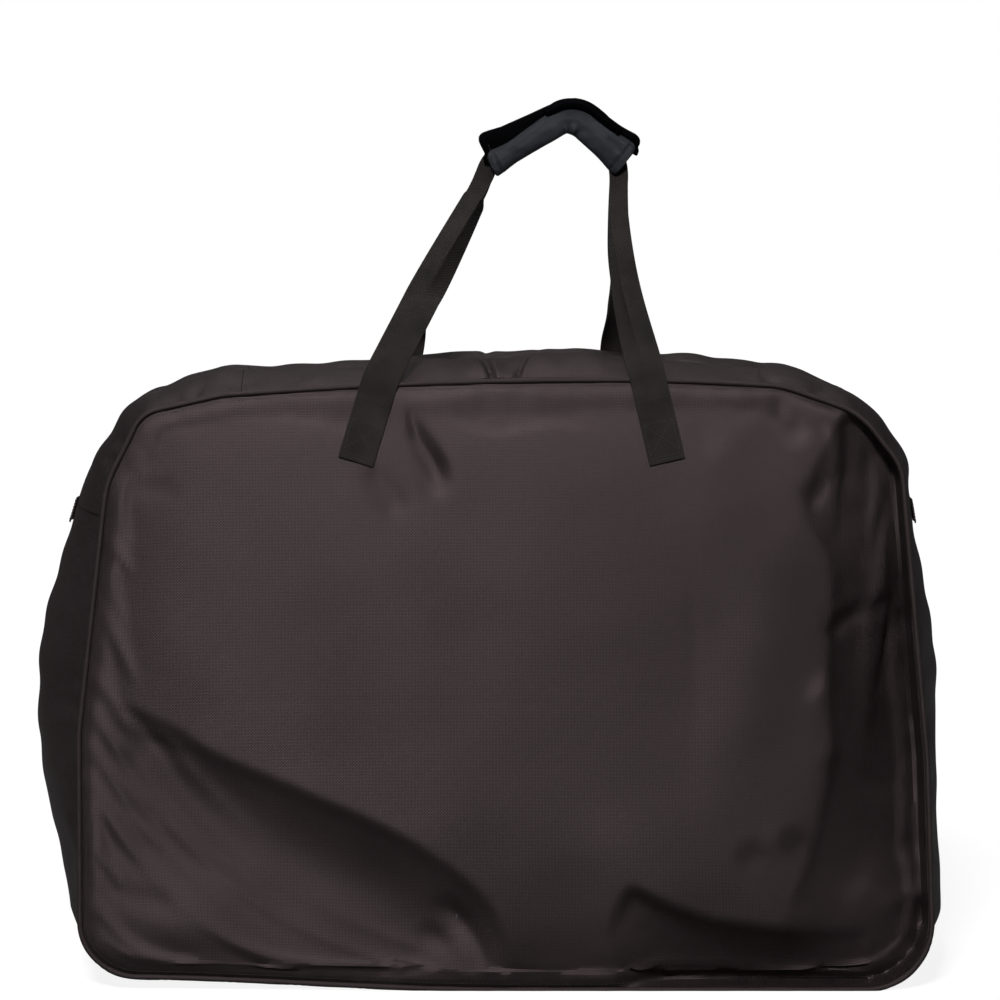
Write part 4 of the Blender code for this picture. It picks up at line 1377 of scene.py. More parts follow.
    def slack(self, x: Array, z: Array, wall: bool = True) -> Array:
        """How far the front cloth falls in beyond the load's right edge.

        Args:
            x: Places across.
            z: Heights.
            wall: Whether it comes back out to the seam at its end.

        Returns:
            The move outwards, which is negative.
        """
        heights, edges, drops = np.array(self.LOAD_EDGE).T
        even = np.linspace(heights[0], heights[-1], 240)
        edge, drop = np.interp(even, heights, edges), np.interp(even, heights, drops)
        soften(edge, 12)
        soften(drop, 12)
        beyond = x - np.interp(z, even, edge)
        margin = self.form.margin(x, z)
        share = np.clip(beyond / np.maximum(beyond + margin - self.seam_room, 0.02), 0, 1)
        soft = smooth(-0.006, 0.012, beyond) * share**0.92
        brow_x, brow_z = np.array(self.LOAD_BROW).T
        under = np.interp(x, brow_x, brow_z) - z
        low = np.clip(under / np.maximum(under + margin - self.seam_room, 0.02), 0, 1) ** 0.9
        hollow = self.brow_drop * smooth(-0.004, 0.010, under) * low * smooth(0.120, 0.200, x)
        back = smooth(-0.002, 0.008, margin) if wall else 1.0
        return -np.hypot(np.interp(z, even, drop) * soft, hollow) * back

    def slack_depth(self, z: Array) -> Array:
        """How deep the slack cloth falls in at a height, with room for the linings behind it."""
        heights, _, drops = np.array(self.LOAD_EDGE).T
        return np.interp(z, heights, drops) + self.lining_room

    def outside(self, side: Side, x: Array, z: Array) -> Array:
        """How far the outer cloth stands from the middle plane, with its folds.

        Args:
            side: Front or rear.
            x: Places across.
            z: Heights.

        Returns:
            The distances.
        """
        share = np.minimum(self.form.reach_share(x, z), 1.0)
        room = 1 - share**6
        folds = self.FRONT_FOLDS if side is Side.FRONT else self.REAR_FOLDS
        move = sum(fold.read(x, z) for fold in folds)
        soft = Waves(11 * side.value + 30, 0.30).read(x, z) * 0.0016
        soft = soft + Waves(5 * side.value + 9, 0.09).read(x, z) * 0.0005
        near_seam = np.exp(-(1 - share) / 0.05)
        puckers = Waves(3 * side.value + 70, 0.035, 10).read(x, z) * 0.0014 * near_seam
        roll = 0.0016 - 0.0034 * np.exp(-(((1 - share) * 0.35 / self.seam_roll) ** 2))
        moved = (self.lift + move + soft) * room + puckers * (1 - share**40) + roll
        if side is Side.FRONT:
            moved = moved + self.slack(x, z)
        return self.form.panel_y(x, z) + moved

    def skin(self, side: Side, x: Array, z: Array) -> Array:
        """How far the settled outer cloth stands from the middle plane, read on its mesh.

        Args:
            side: Front or rear.
            x: Places across.
            z: Heights.

        Returns:
            The distances; beside the panel, those of the drawn surface.
        """
        drawn = self.outside(side, x, z)
        found = drawn.ravel().copy()
        start, way = side.value * 0.5, Vector((0, -side.value, 0))
        for index, (px, pz) in enumerate(zip(np.ravel(x), np.ravel(z))):
            hit = self.surfaces[side].ray_cast(Vector((px, start, pz)), way, 0.48)[0]
            if hit is not None:
                found[index] = side.value * hit.y
        return found.reshape(drawn.shape)

    def lining(self, side: Side, x: Array, z: Array) -> Array:
        """How far the lining stands from the middle plane.

        Args:
            side: Front or rear.
            x: Places across.
            z: Heights.

        Returns:
            The distances.
        """
        plain = self.form.panel_y(x, z) - self.lining_depth
        ease = Waves(21 * side.value + 90, 0.12).read(x, z) * 0.0007
        inside = np.minimum(plain + ease - 0.0007, self.outside(side, x, z) - 0.0045)
        if side is Side.FRONT:
            inside = np.minimum(inside, plain + self.slack(x, z, False) - 0.0040)
        return inside

    def build(self, finishes: Finishes) -> None:
        """Makes both panels and their linings.

        Args:
            finishes: Gives the finishes of cloth and lining.
        """
        x, z = self.net()
        for side in Side:
            self.build_outer(side, x, z, finishes)
            self.build_lining(side, x, z, finishes)

    @staticmethod
    def sheet(name: str, points: Array) -> bpy.types.Object:
        """A panel's sheet from its net of points; its UV places are the points seen square on."""
        rows, columns = (np.arange(count, dtype=float) for count in points.shape[:2])
        return Bench.grid(name, rows, columns, lambda *_: points, lambda *_: points[..., [0, 2]])

    def build_outer(self, side: Side, x: Array, z: Array, finishes: Finishes) -> None:
        """The outer cloth of one panel; the padding's solid is hidden.

        Args:
            side: Front or rear.
            x: The net's places across.
            z: Its heights.
            finishes: Gives the cloth's finish.
        """
        word = side.word
        points = np.stack((x, side.value * self.outside(side, x, z), z), axis=-1)
        obj = self.sheet(f"{word}_panel_cloth", points)
        margin = self.form.margin(Bench.points(obj)[:, 0], Bench.points(obj)[:, 2])
        held = 1 - smooth(0.012, 0.030, margin)
        Bench.face_towards(obj, lambda centre: Vector((0, side.value, 0)))
        Bench.settle(obj, held, slack=0.004, cap=0.004)
        vertices = [vertex.co.copy() for vertex in obj.data.vertices]
        faces = [tuple(face.vertices) for face in obj.data.polygons]
        self.surfaces[side] = BVHTree.FromPolygons(vertices, faces)
        Bench.thicken(obj, self.cloth)
        Bench.smooth(obj)
        finishes.dress(obj, "shell_fabric")
        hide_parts(f"{word}_panel", f"{word}_panel_foam")
        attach(obj, Body.BAG.value)
        LOG.info("%s: %d points", obj.name, len(obj.data.vertices))

    def build_lining(self, side: Side, x: Array, z: Array, finishes: Finishes) -> None:
        """The lining of one panel, a little inside the net and in a net three times as wide.

        Args:
            side: Front or rear.
            x: The net's places across.
            z: Its heights.
            finishes: Gives the lining's finish.
        """
        word = side.word
        scale_x = 1 - self.lining_inset / (self.form.seam_width / 2)
        scale_z = 1 - self.lining_inset / (self.form.seam_height / 2)
        lx = self.form.centre_x + (x - self.form.centre_x) * scale_x
        lz = self.form.centre_z + (z - self.form.centre_z) * scale_z
        points = np.stack((lx, side.value * self.lining(side, lx, lz), lz), axis=-1)
        obj = self.sheet(f"{word}_lining_cloth", points[::3, ::3])
        Bench.thicken(obj, 0.001, Vector((0, side.value, 0)))
        Bench.smooth(obj)
        finishes.dress(obj, "lining_fabric")
        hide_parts(f"{word}_panel_lining")
        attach(obj, Body.BAG.value)


@dataclass(frozen=True)
class Pinch:
    """A pucker across a gusset where the seam gathers it.

    Attributes:
        x: Where it starts on the seam, across.
        z: Where it starts on the seam, in height.
        depth: How deep it is.
        width: How wide, along the seam.
        reach: How far it runs from the seam into the gusset.
        lean: How far it leans along the seam for each metre that it runs in.
    """

    x: float
    z: float
    depth: float
    width: float
    reach: float
    lean: float = 0.0


@dataclass
class GussetCloth:
    """The sides, the base and the padded strips beside the zip."""

    form: BagForm
    panels: PanelCloth
    step: float = 0.0022
    cloth: float = 0.0015
    seed: int = 61
    columns: int = 61
    tuft: float = 0.021
    brow_room: float = 0.012

    PINCHES = (
        Pinch(-0.325, 0.620, 0.0035, 0.007, 0.040, 0.3),
        Pinch(-0.313, 0.632, 0.0030, 0.006, 0.045, -0.3),
        Pinch(-0.266, 0.640, 0.0035, 0.007, 0.050, 0.2),
        Pinch(-0.207, 0.640, 0.0030, 0.006, 0.040, 0.3),
        Pinch(0.001, 0.640, 0.0090, 0.0035, 0.070, 0.25),
        Pinch(0.027, 0.640, 0.0070, 0.0030, 0.060, -0.30),
        Pinch(0.290, 0.640, 0.0030, 0.007, 0.050, 0.3),
        Pinch(0.342, 0.630, 0.0040, 0.009, 0.060, -0.2),
        Pinch(0.410, 0.565, 0.0050, 0.012, 0.080, 0.2),
        Pinch(0.430, 0.405, 0.0060, 0.012, 0.080, 0.2),
        Pinch(0.430, 0.340, 0.0050, 0.014, 0.080, -0.3),
        Pinch(0.440, 0.265, 0.0040, 0.012, 0.070, 0.2),
        Pinch(0.455, 0.190, 0.0040, 0.012, 0.070, 0.2),
        Pinch(-0.400, 0.585, 0.0040, 0.008, 0.050, 0.2),
        Pinch(-0.400, 0.555, 0.0040, 0.008, 0.060, 0.0),
        Pinch(-0.430, 0.328, 0.0050, 0.010, 0.090, 0.1),
        Pinch(-0.430, 0.297, 0.0045, 0.010, 0.080, -0.1),
        Pinch(-0.434, 0.204, 0.0050, 0.012, 0.090, 0.1),
        Pinch(-0.434, 0.140, 0.0030, 0.012, 0.060, 0.1),
    )

    def unevenness(self, run: Array, y: Array) -> Array:
        """Wrinkles of the gusset: soft waves, puckers at the seams and the pinches that show.

        Args:
            run: Length along the seam.
            y: Distance from the middle plane.

        Returns:
            The move outwards, in metres.
        """
        _, z, _, _ = self.form.seam.at(run)
        half = self.form.depth_at(z) / 2
        edge = np.maximum(half - np.abs(y), 0)
        soft = Waves(self.seed, 0.085, 12, 0.6).read(run, y) * 0.0016
        fine = Waves(self.seed + 1, 0.030, 12, 0.35).read(run, y) * 0.0012
        move = (soft + fine * np.exp(-edge / 0.03)) * smooth(0.002, 0.02, edge)
        for index, pinch in enumerate(self.PINCHES):
            for side in (-1, 1):
                offset = 0.0 if side < 0 else self.tuft * math.sin(index * 2.4)
                middle = self.form.seam.run_near(pinch.x, pinch.z) + offset
                away = np.mod(run - middle + self.form.seam.length / 2, self.form.seam.length)
                away = away - self.form.seam.length / 2
                inward = half - side * y
                line = away - pinch.lean * inward
                width = pinch.width * (1 + inward / pinch.reach)
                depth = pinch.depth * smooth(-0.002, 0.006, inward) * (1 - smooth(0, pinch.reach, inward))
                hollow, rim = np.exp(-((line / width) ** 2)), np.exp(-((line / (2.2 * width)) ** 2))
                move = move - depth * (hollow - 0.35 * rim)
        return move

    def strip(
        self,
        name: str,
        ends: tuple[float, float],
        edges: tuple[Callable[[Array], Array], Callable[[Array], Array]],
        columns: int,
        lift: Callable[[Array, Array], Array],
        thickness: float,
    ) -> bpy.types.Object:
        """One stretch of gusset cloth.

        Args:
            name: The piece's name.
            ends: Its first and last run.
            edges: Give its front and rear edge, as distances from the middle plane, from the height.
            columns: Points across.
            lift: Gives the distance out from the plain surface.
            thickness: Of the cloth.

        Returns:
            The piece.
        """
        start, end = ends
        if end < start:
            end += self.form.seam.length
        u = np.linspace(start + 0.0002, end - 0.0002, max(6, int((end - start) / self.step)))
        v = np.linspace(0, 1, columns)

        def across(run: Array, share: Array) -> Array:
            """The distance from the middle plane at a share of the way from edge to edge."""
            z = self.form.seam.at(run)[1]
            return edges[0](z) + (edges[1](z) - edges[0](z)) * share

        def place(run: Array, share: Array) -> Array:
            """The cloth's points."""
            y = across(run, share)
            return self.form.gusset_point(run, y, lift(run, y))

        obj = Bench.grid(name, u, v, place, lambda run, share: np.stack((run, across(run, share)), axis=-1))
        middle = Vector((self.form.centre_x, 0, self.form.centre_z))
        Bench.face_towards(obj, lambda centre: centre - middle)
        Bench.thicken(obj, thickness)
        Bench.smooth(obj)
        return obj

    def seam_edge(self, side: Side) -> Callable[[Array], Array]:
        """The gusset's edge at the front or rear seam, as a distance from the middle plane at a height."""
        return lambda z: side.value * (self.form.depth_at(z) / 2 - self.form.edge_inset)

    def lining_edge(self, name: str) -> Callable[[Array], Array]:
        """The front edge of a lining, drawn back where the slack panel falls in before it.

        Args:
            name: Of the stretch that the lining belongs to.

        Returns:
            Gives the edge's distance from the middle plane at a height.
        """
        if name.startswith("base"):
            return lambda z: self.panels.brow_drop + self.brow_room - self.form.depth_at(z) / 2
        if name.startswith("left"):
            return self.seam_edge(Side.FRONT)
        inset = self.form.edge_inset
        return lambda z: -(self.form.depth_at(z) / 2 - inset - self.panels.slack_depth(z))

    def side_lift(self, run: Array, y: Array) -> Array:
        """The wrinkles of the sides, which are calm near the floor."""
        return self.unevenness(run, y) * smooth(0.0, 0.03, self.form.seam.at(run)[1])

    def strip_lift(self, run: Array, y: Array) -> Array:
        """How the padded strips beside the zip rise from the plain surface.

        Args:
            run: Length along the seam.
            y: Distance from the middle plane.

        Returns:
            The distance outwards.
        """
        beside = np.abs(y) - self.form.zip_reveal
        x, z, _, _ = self.form.seam.at(run)
        hem = np.exp(-((beside / 0.003) ** 2))
        raised = 0.0009 * (1 - hem) * smooth(0.0, 0.006, beside)
        return self.unevenness(run, y) * self.calm(y) + raised + self.form.puff(x, z, y)

    @staticmethod
    def calm(y: Array) -> Array:
        """How much of the wrinkles is left beside the zip, which holds the cloth straight."""
        return smooth(0.009, 0.022, np.abs(y))

    def build(self, finishes: Finishes) -> None:
        """Makes the sides, the base and the strips with their linings.

        Args:
            finishes: Gives the finishes of cloth and lining.
        """
        form = self.form
        front, rear = self.seam_edge(Side.FRONT), self.seam_edge(Side.REAR)
        stretches = (
            ("left_gusset", (form.left_zip_end, form.left_foot)),
            ("base_gusset", (form.left_foot, form.right_foot)),
            ("right_gusset", (form.right_foot, form.right_zip_end)),
        )
        for name, ends in stretches:
            obj = self.strip(f"{name}_cloth", ends, (front, rear), self.columns, self.side_lift, self.cloth)
            finishes.dress(obj, "shell_fabric")
            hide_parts(name, f"{name}_foam")
            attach(obj, Body.BAG.value)
            behind = self.lining_edge(name)
            lining = self.strip(f"{name}_lining_cloth", ends, (behind, rear), 31, level(-0.0075), 0.001)
            finishes.dress(lining, "lining_fabric")
            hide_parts(f"{name}_lining")
            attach(lining, Body.BAG.value)
        self.build_strips(finishes)

    def build_strips(self, finishes: Finishes) -> None:
        """The padded strips in front of the zip and behind it.

        Args:
            finishes: Gives the finishes of cloth and lining.
        """
        form = self.form
        stretches = (
            ("left", (form.left_mouth, form.left_zip_end), (Body.BAG, Body.BAG)),
            ("right", (form.right_zip_end, form.right_mouth), (Body.BAG, Body.BAG)),
            ("mouth", (form.right_mouth, form.left_mouth), (Body.MOUTH_FRONT, Body.MOUTH_REAR)),
        )
        for name, ends, carriers in stretches:
            for side, carrier in zip(Side, carriers):
                seam, reveal = self.seam_edge(side), level(side.value * form.zip_reveal)
                piece = f"{name}_{side.word}_strip"
                obj = self.strip(f"{piece}_cloth", ends, (seam, reveal), 36, self.strip_lift, self.cloth)
                finishes.dress(obj, "shell_fabric")
                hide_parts(f"{name}_{side.word}_strip")
                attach(obj, carrier.value)
                self.flatten_open(obj, side, name)
                behind = self.lining_edge(name) if (side, name) == (Side.FRONT, "right") else seam
                edges = (behind, reveal)
                lining = self.strip(f"{piece}_lining_cloth", ends, edges, 16, level(-0.0055), 0.0008)
                finishes.dress(lining, "lining_fabric")
                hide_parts(f"{name}_{side.word}_strip_lining")
                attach(lining, carrier.value)
                self.flatten_open(lining, side, name)

    def flatten_open(self, obj: bpy.types.Object, side: Side, name: str = "mouth") -> None:
        """Gives a piece of the mouth's half a mesh of its own.

        Args:
            obj: The piece.
            side: Front or rear; not used.
            name: Of its stretch; nothing is done to the other stretches.
        """
        if name == "mouth":
            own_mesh(obj)


@dataclass
class Seams:
    """The piping along the two seams and the binding inside them."""

    form: BagForm
    panels: PanelCloth
    radius: float = 0.0030
    step: float = 0.004
    sides: int = 12
    stitch_pitch: float = 0.0042
    stitch_inset: float = 0.0068
    binding_inset: float = 0.0135
    binding_depth: float = 0.0100

    def ring_runs(self) -> Array:
        """Even runs once round the seam, its start repeated at the end."""
        count = int(self.form.seam.length / self.step)
        return np.linspace(0, self.form.seam.length, count + 1)

    def build(self, finishes: Finishes) -> None:
        """Makes piping and binding at the front and the rear.

        Args:
            finishes: Gives the finishes of piping, binding and thread.
        """
        for side in Side:
            self.build_piping(side, finishes)
            self.build_binding(side, finishes)
            self.build_stitches(side, finishes)

    def build_piping(self, side: Side, finishes: Finishes) -> None:
        """The round edge: a closed tube, slightly uneven where its stitches pull.

        Args:
            side: Front or rear.
            finishes: Gives the piping's finish.
        """
        runs = self.ring_runs()
        angles = np.linspace(0, 2 * math.pi, self.sides + 1)

        def place(run: Array, angle: Array) -> Array:
            """The tube's points.

            Args:
                run: Length along the seam.
                angle: Round the tube.

            Returns:
                The points, with a last axis of 3.
            """
            x, z, nx, nz = self.form.seam.at(run)
            uneven = 1 + 0.05 * Waves(8, 0.04).read(run, 0 * run)
            stitch = 1 - 0.10 * np.maximum(0, np.sin(2 * math.pi * run / 0.0085)) ** 8
            out = self.radius * uneven * stitch * np.cos(angle)
            deep = self.radius * uneven * np.sin(angle)
            y = side.value * (self.form.depth_at(z) / 2 + deep)
            return np.stack((x + nx * out, y, z + nz * out), axis=-1)

        obj = Bench.grid(f"{side.word}_piping_cord", runs, angles, place, cloth_of(self.radius))
        self.close(obj)
        finishes.dress(obj, "piping_fabric")
        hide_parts(f"{side.word}_piping")
        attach(obj, Body.BAG.value)

    def build_stitches(self, side: Side, finishes: Finishes) -> None:
        """The row of stitches on the panel, just inside the piping.

        Args:
            side: Front or rear.
            finishes: Gives the thread's finish.
        """
        runs = np.arange(0, self.form.seam.length, self.stitch_pitch)
        x, z, nx, nz = self.form.seam.at(runs)
        x, z = x - nx * self.stitch_inset, z - nz * self.stitch_inset
        centres = np.stack((x, side.value * (self.panels.skin(side, x, z) + OVER_CLOTH), z), axis=-1)
        along = np.roll(centres, -1, axis=0) - np.roll(centres, 1, axis=0)
        name = f"{side.word}_seam_stitches"
        size = (0.0029, 0.0007, 0.0006)
        Stitches.set(name, centres, along, Vector((0, side.value, 0)), finishes, Body.BAG, size)

    def build_binding(self, side: Side, finishes: Finishes) -> None:
        """The tape sewn over the seam's raw edges, inside the bag.

        Args:
            side: Front or rear.
            finishes: Gives the tape's finish.
        """
        runs = self.ring_runs()[::3]
        runs[-1] = self.form.seam.length
        angles = np.linspace(0, 2 * math.pi, self.sides + 1)

        def place(run: Array, angle: Array) -> Array:
            """The tape's points, round a flat oval.

            Args:
                run: Length along the seam.
                angle: Round the oval.

            Returns:
                The points, with a last axis of 3.
            """
            x, z, nx, nz = self.form.seam.at(run)
            inset = self.binding_inset + 0.0048 * np.cos(angle)
            px, pz = x - nx * inset, z - nz * inset
            depth = self.binding_depth + 0.0008 * np.sin(angle)
            if side is Side.FRONT:
                depth = depth - self.panels.slack(px, pz, False) * 1.02
            y = side.value * (self.form.panel_y(px, pz) - depth)
            return np.stack((px, y, pz), axis=-1)

        obj = Bench.grid(f"{side.word}_binding_tape", runs, angles, place, cloth_of(0.004))
        self.close(obj)
        finishes.dress(obj, "binding_tape")
        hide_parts(f"{side.word}_seam_binding")
        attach(obj, Body.BAG.value)

    @staticmethod
    def close(obj: bpy.types.Object) -> None:
        """Joins the ends and the edges of a ring, and turns its faces outwards.

        Args:
            obj: The ring.
        """
        Bench.pick(obj)
        bpy.ops.object.mode_set(mode="EDIT")
        bpy.ops.mesh.select_all(action="SELECT")
        bpy.ops.mesh.remove_doubles(threshold=0.00005)
        bpy.ops.mesh.normals_make_consistent(inside=False)
        bpy.ops.object.mode_set(mode="OBJECT")
        Bench.smooth(obj)


@dataclass
class Handles:
    """Both webbing handles: sewn ends on the panels, free loops that fold lengthwise at the grip."""

    form: BagForm
    panels: PanelCloth
    width: float = 0.038
    thickness: float = 0.0020
    hinge_offset: float = 0.1055
    spread: float = 0.286
    rise: float = 0.278
    left: float = -0.1165
    anchor_length: float = 0.084
    lean_top: float = 0.852
    grip_y: float = 0.0025

    # Points of the grip as shares of the spread and of the rise: the wrap's two ends and its top.
    WRAP_LEFT = (0.400, 0.813)
    APEX = (0.7056, 1.0)
    WRAP_RIGHT = (0.889, 0.824)

    def grip(self, u: float, v: float) -> tuple[float, float]:
        """A point of the grip from its shares of the spread and of the rise."""
        return u * self.spread + self.left, self.form.seam_height + v * self.rise

    def build(self, finishes: Finishes) -> None:
        """Makes the front and the rear handle with their stitches.

        Args:
            finishes: Gives the finishes of webbing and thread.
        """
        feet = {Side.FRONT: (0.0, 0.007), Side.REAR: (0.0165, 0.0330)}
        for side in Side:
            left = self.left + feet[side][0]
            right = self.left + self.spread - feet[side][1]
            self.build_strap(side, left, right, finishes)

    def centreline(self, left: float, right: float) -> Array:
        """The strap's middle from its left sewn end over the grip to its right one.

        Args:
            left: Where it crosses the seam at the left, across.
            right: The same at the right.

        Returns:
            Its points (x, z), evenly apart.
        """
        height = self.form.seam_height
        corners = [
            (left - 0.025, height - self.anchor_length),
            (left, height),
            self.grip(0.381, 0.7626),
            self.grip(*self.WRAP_LEFT),
            self.grip(*self.APEX),
            self.grip(*self.WRAP_RIGHT),
            self.grip(0.8986, 0.7626),
            (right, height),
            (right + 0.0195, height - self.anchor_length),
        ]
        radii = (0, 0.12, 0.05, 0.012, 0.022, 0.012, 0.05, 0.12, 0)
        rows: list[tuple[float, float]] = [corners[0]]
        for i in range(1, len(corners) - 1):
            before, here, after = (Vector(corner) for corner in corners[i - 1 : i + 2])
            coming = (here - before).normalized()
            going = (after - here).normalized()
            turn = math.acos(max(-1.0, min(1.0, coming.dot(going))))
            near = min((here - before).length, (after - here).length)
            back = min(radii[i] * math.tan(turn / 2), near * 0.45)
            start, end = here - coming * back, here + going * back
            for t in np.linspace(0, 1, 9):
                point = start * (1 - t) ** 2 + here * 2 * t * (1 - t) + end * t**2
                rows.append((point.x, point.y))
        rows.append(corners[-1])
        line = np.array(rows)
        runs = flat_runs(line)
        keep = np.concatenate(([True], np.diff(runs) > 1e-7))
        line, runs = line[keep], runs[keep]
        return resampled(line, runs, np.linspace(0, runs[-1], int(runs[-1] / 0.0035)))

    def lean_share(self, z: Array) -> Array:
        """How far a height is from the seam to where the straps meet, as a share."""
        height = self.form.seam_height
        return np.clip((z - height) / (self.lean_top - height), 0, 1)

    def stand_off(self, side: Side, x: Array, z: Array) -> Array:
        """How far the strap's middle stands from the middle plane.

        Args:
            side: Front or rear.
            x: Places across.
            z: Heights.

        Returns:
            The distances.
        """
        height = self.form.seam_height
        clear = self.hinge_offset
        on_panel = self.panels.skin(side, x, np.minimum(z, height - 0.006)) + self.thickness * 0.6
        lean_share = self.lean_share(z)
        free = clear + (self.grip_y - clear) * lean_share + 0.005 * np.sin(math.pi * lean_share)
        near_seam = smooth(height - 0.030, height - 0.004, z)
        sewn = on_panel + (clear - on_panel) * near_seam
        sewn = np.maximum(sewn, np.where(z > height - 0.012, clear - 0.0006, 0))
        return np.where(z > height, free, sewn)

    def bow(self, side: Side, x: Array, z: Array) -> Array:
        """How far the slack legs bend towards each other between the seam and the grip.

        Args:
            side: Front or rear.
            x: Places along the straight legs.
            z: Their heights.

        Returns:
            The move along X.
        """
        share = self.lean_share(z)
        middle = self.left + self.spread * self.APEX[0]
        drawn = -0.006 * smooth(0, 1, share) * smooth(middle, middle + 0.03, x)
        if side is Side.FRONT:
            return np.where(x < middle, 0.0, -0.009) * np.sin(math.pi * share) + drawn
        behind = -(0.0215 * (1 - share) - 0.002) * smooth(0.0, 0.42, share)
        behind = behind * (1 - smooth(0.85, 1.0, share))
        return np.where(x < middle, behind, -0.002 * np.sin(math.pi * share)) + drawn

    def draped(self, side: Side, points: Array) -> Array:
        """Lays the sewn ends on the panel.

        Args:
            side: Front or rear.
            points: The strap's points.

        Returns:
            The points, none of them inside the panel.
        """
        x, z = points[..., 0], points[..., 2]
        low = np.minimum(z, self.form.seam_height - 0.010)
        above = self.panels.skin(side, x, low) + self.thickness * 0.62
        below = 1 - smooth(self.form.seam_height - 0.016, self.form.seam_height - 0.002, z)
        stand = side.value * points[..., 1]
        lifted = np.maximum(stand, above * below + stand * (1 - below))
        laid = np.where(z < self.form.seam_height - 0.002, lifted, stand)
        return np.stack((x, side.value * laid, z), axis=-1)

    def build_strap(self, side: Side, left: float, right: float, finishes: Finishes) -> None:
        """One handle as a single strap.

        Args:
            side: Front or rear.
            left: Where it crosses the seam at the left, across.
            right: The same at the right.
            finishes: Gives the finishes of webbing and thread.
        """
        line = self.centreline(left, right)
        x, z = line.T
        x = x + self.bow(side, x, z)
        y = side.value * self.stand_off(side, x, z)
        path = np.stack((x, y, z), axis=-1)
        soften(path, 3)
        height = self.form.seam_height
        tangent = unit(np.gradient(path, axis=0))
        lean_share = self.lean_share(path[:, 2])
        slope = (self.hinge_offset - self.grip_y) / (self.lean_top - height)
        leaning = smooth(0.0, 0.03, path[:, 2] - height) * (1 - smooth(0.93, 1.0, lean_share))
        facing = unit(np.stack((0 * leaning, side.value + 0 * leaning, slope * leaning), axis=-1))
        across = unit(np.cross(tangent, facing))
        facing = np.cross(across, tangent)
        on_left = np.arange(len(path)) < np.argmax(path[:, 2])
        if side is Side.REAR:
            turn = math.radians(56) * smooth(0.02, 0.34, lean_share) * (1 - smooth(0.40, 0.70, lean_share))
            turn = turn * np.where(on_left, -1, 1)
            cos, sin = np.cos(turn)[:, None], np.sin(turn)[:, None]
            across, facing = across * cos + facing * sin, facing * cos - across * sin
        drawn = np.clip(np.where(on_left, (lean_share - 0.40) / 0.57, (lean_share - 0.04) / 0.76), 0, 1)
        drawn = 1.12 * drawn**2 / (drawn + 0.12)
        fold = np.arccos(1 - np.clip(drawn, 0, 1)) + math.radians(82) * smooth(0.88, 1.0, lean_share)
        if side is Side.REAR:
            fold = math.radians(172) * smooth(0.22, 0.70, lean_share)
        runs = np.concatenate(([0], np.cumsum(np.linalg.norm(np.diff(path, axis=0), axis=1))))
        half = self.width / 2
        v = np.linspace(-half, half, 21)
        loose = (lean_share * 4 * (1 - lean_share))[:, None]

        def place(_: Array, s: Array) -> Array:
            """The strap's points, one half of it folded behind the other near the grip.

            Args:
                _: Length along the strap, which its path already follows.
                s: Distance from its middle.

            Returns:
                The points, (rows, columns, 3).
            """
            angle = fold[:, None]
            turned = np.maximum(np.cos(angle), 0)
            crease = -(half - turned * half) / 2
            free_half = s < 0
            bend = smooth(0.0, 0.006, -s)
            turned_angle = angle * np.where(free_half, 1.0, 0.0)
            radius = 0.0014 * np.sin(np.minimum(angle, math.pi / 2))
            flat = np.where(free_half, s * np.cos(turned_angle), s)
            deep = np.where(free_half, s * np.sin(turned_angle) - radius * bend, 0.0)
            edge_lift = 0.0003 * np.cos(math.pi * s / half)
            sway = 0.0012 * Waves(17 + side.value, 0.11).read(runs[:, None], 0 * s) * loose
            out = -across[:, None] * (flat + crease)[..., None]
            out = out + facing[:, None] * (deep + edge_lift + sway)[..., None]
            points = path[:, None] + out
            return self.draped(side, points)

        rows, shares = np.meshgrid(runs, v, indexing="ij")
        for word in ("left", "right"):
            self.sew_end(side, word, place(rows, shares), runs, v, finishes)
        obj = Bench.grid(f"{side.word}_strap", runs, v, place)
        Bench.face_towards(obj, lambda centre: Vector((0, side.value, 0.2)))
        Bench.finish_with(obj, "SOLIDIFY", thickness=self.thickness, offset=0.0, use_even_offset=False)
        Bench.round_edges(obj, 0.0005, 2)
        Bench.smooth(obj)
        finishes.dress(obj, "webbing")
        word = side.word
        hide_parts(f"{word}_handle", f"{word}_anchor_left", f"{word}_anchor_right")
        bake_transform(obj)
        LOG.info("%s: %d points", obj.name, len(obj.data.vertices))

    def sew_end(
        self, side: Side, word: str, points: Array, runs: Array, v: Array, finishes: Finishes
    ) -> None:
        """The stitches of one sewn end: two rows at its hem, a box with a cross, a row below the seam.

        Args:
            side: Front or rear.
            word: Left or right.
            points: The strap's middle surface, (rows, columns, 3).
            runs: The length along the strap of each row.
            v: The distance from its middle of each column.
            finishes: Gives the thread's finish.
        """
        edge = self.width / 2 - 0.0035

        def at(reach: Array, across: Array) -> Array:
            """Points of the surface.

            Args:
                reach: Distances from the strap's end.
                across: Distances from its middle.

            Returns:
                The points, (count, 3).
            """
            run = reach if word == "left" else runs[-1] - reach
            row = np.interp(run, runs, np.arange(len(runs)))
            column = np.interp(across, v, np.arange(len(v)))
            r = np.minimum(row.astype(int), len(runs) - 2)
            c = np.minimum(column.astype(int), len(v) - 2)
            fr, fc = (row - r)[:, None], (column - c)[:, None]
            low = points[r, c] * (1 - fc) + points[r, c + 1] * fc
            high = points[r + 1, c] * (1 - fc) + points[r + 1, c + 1] * fc
            return low * (1 - fr) + high * fr

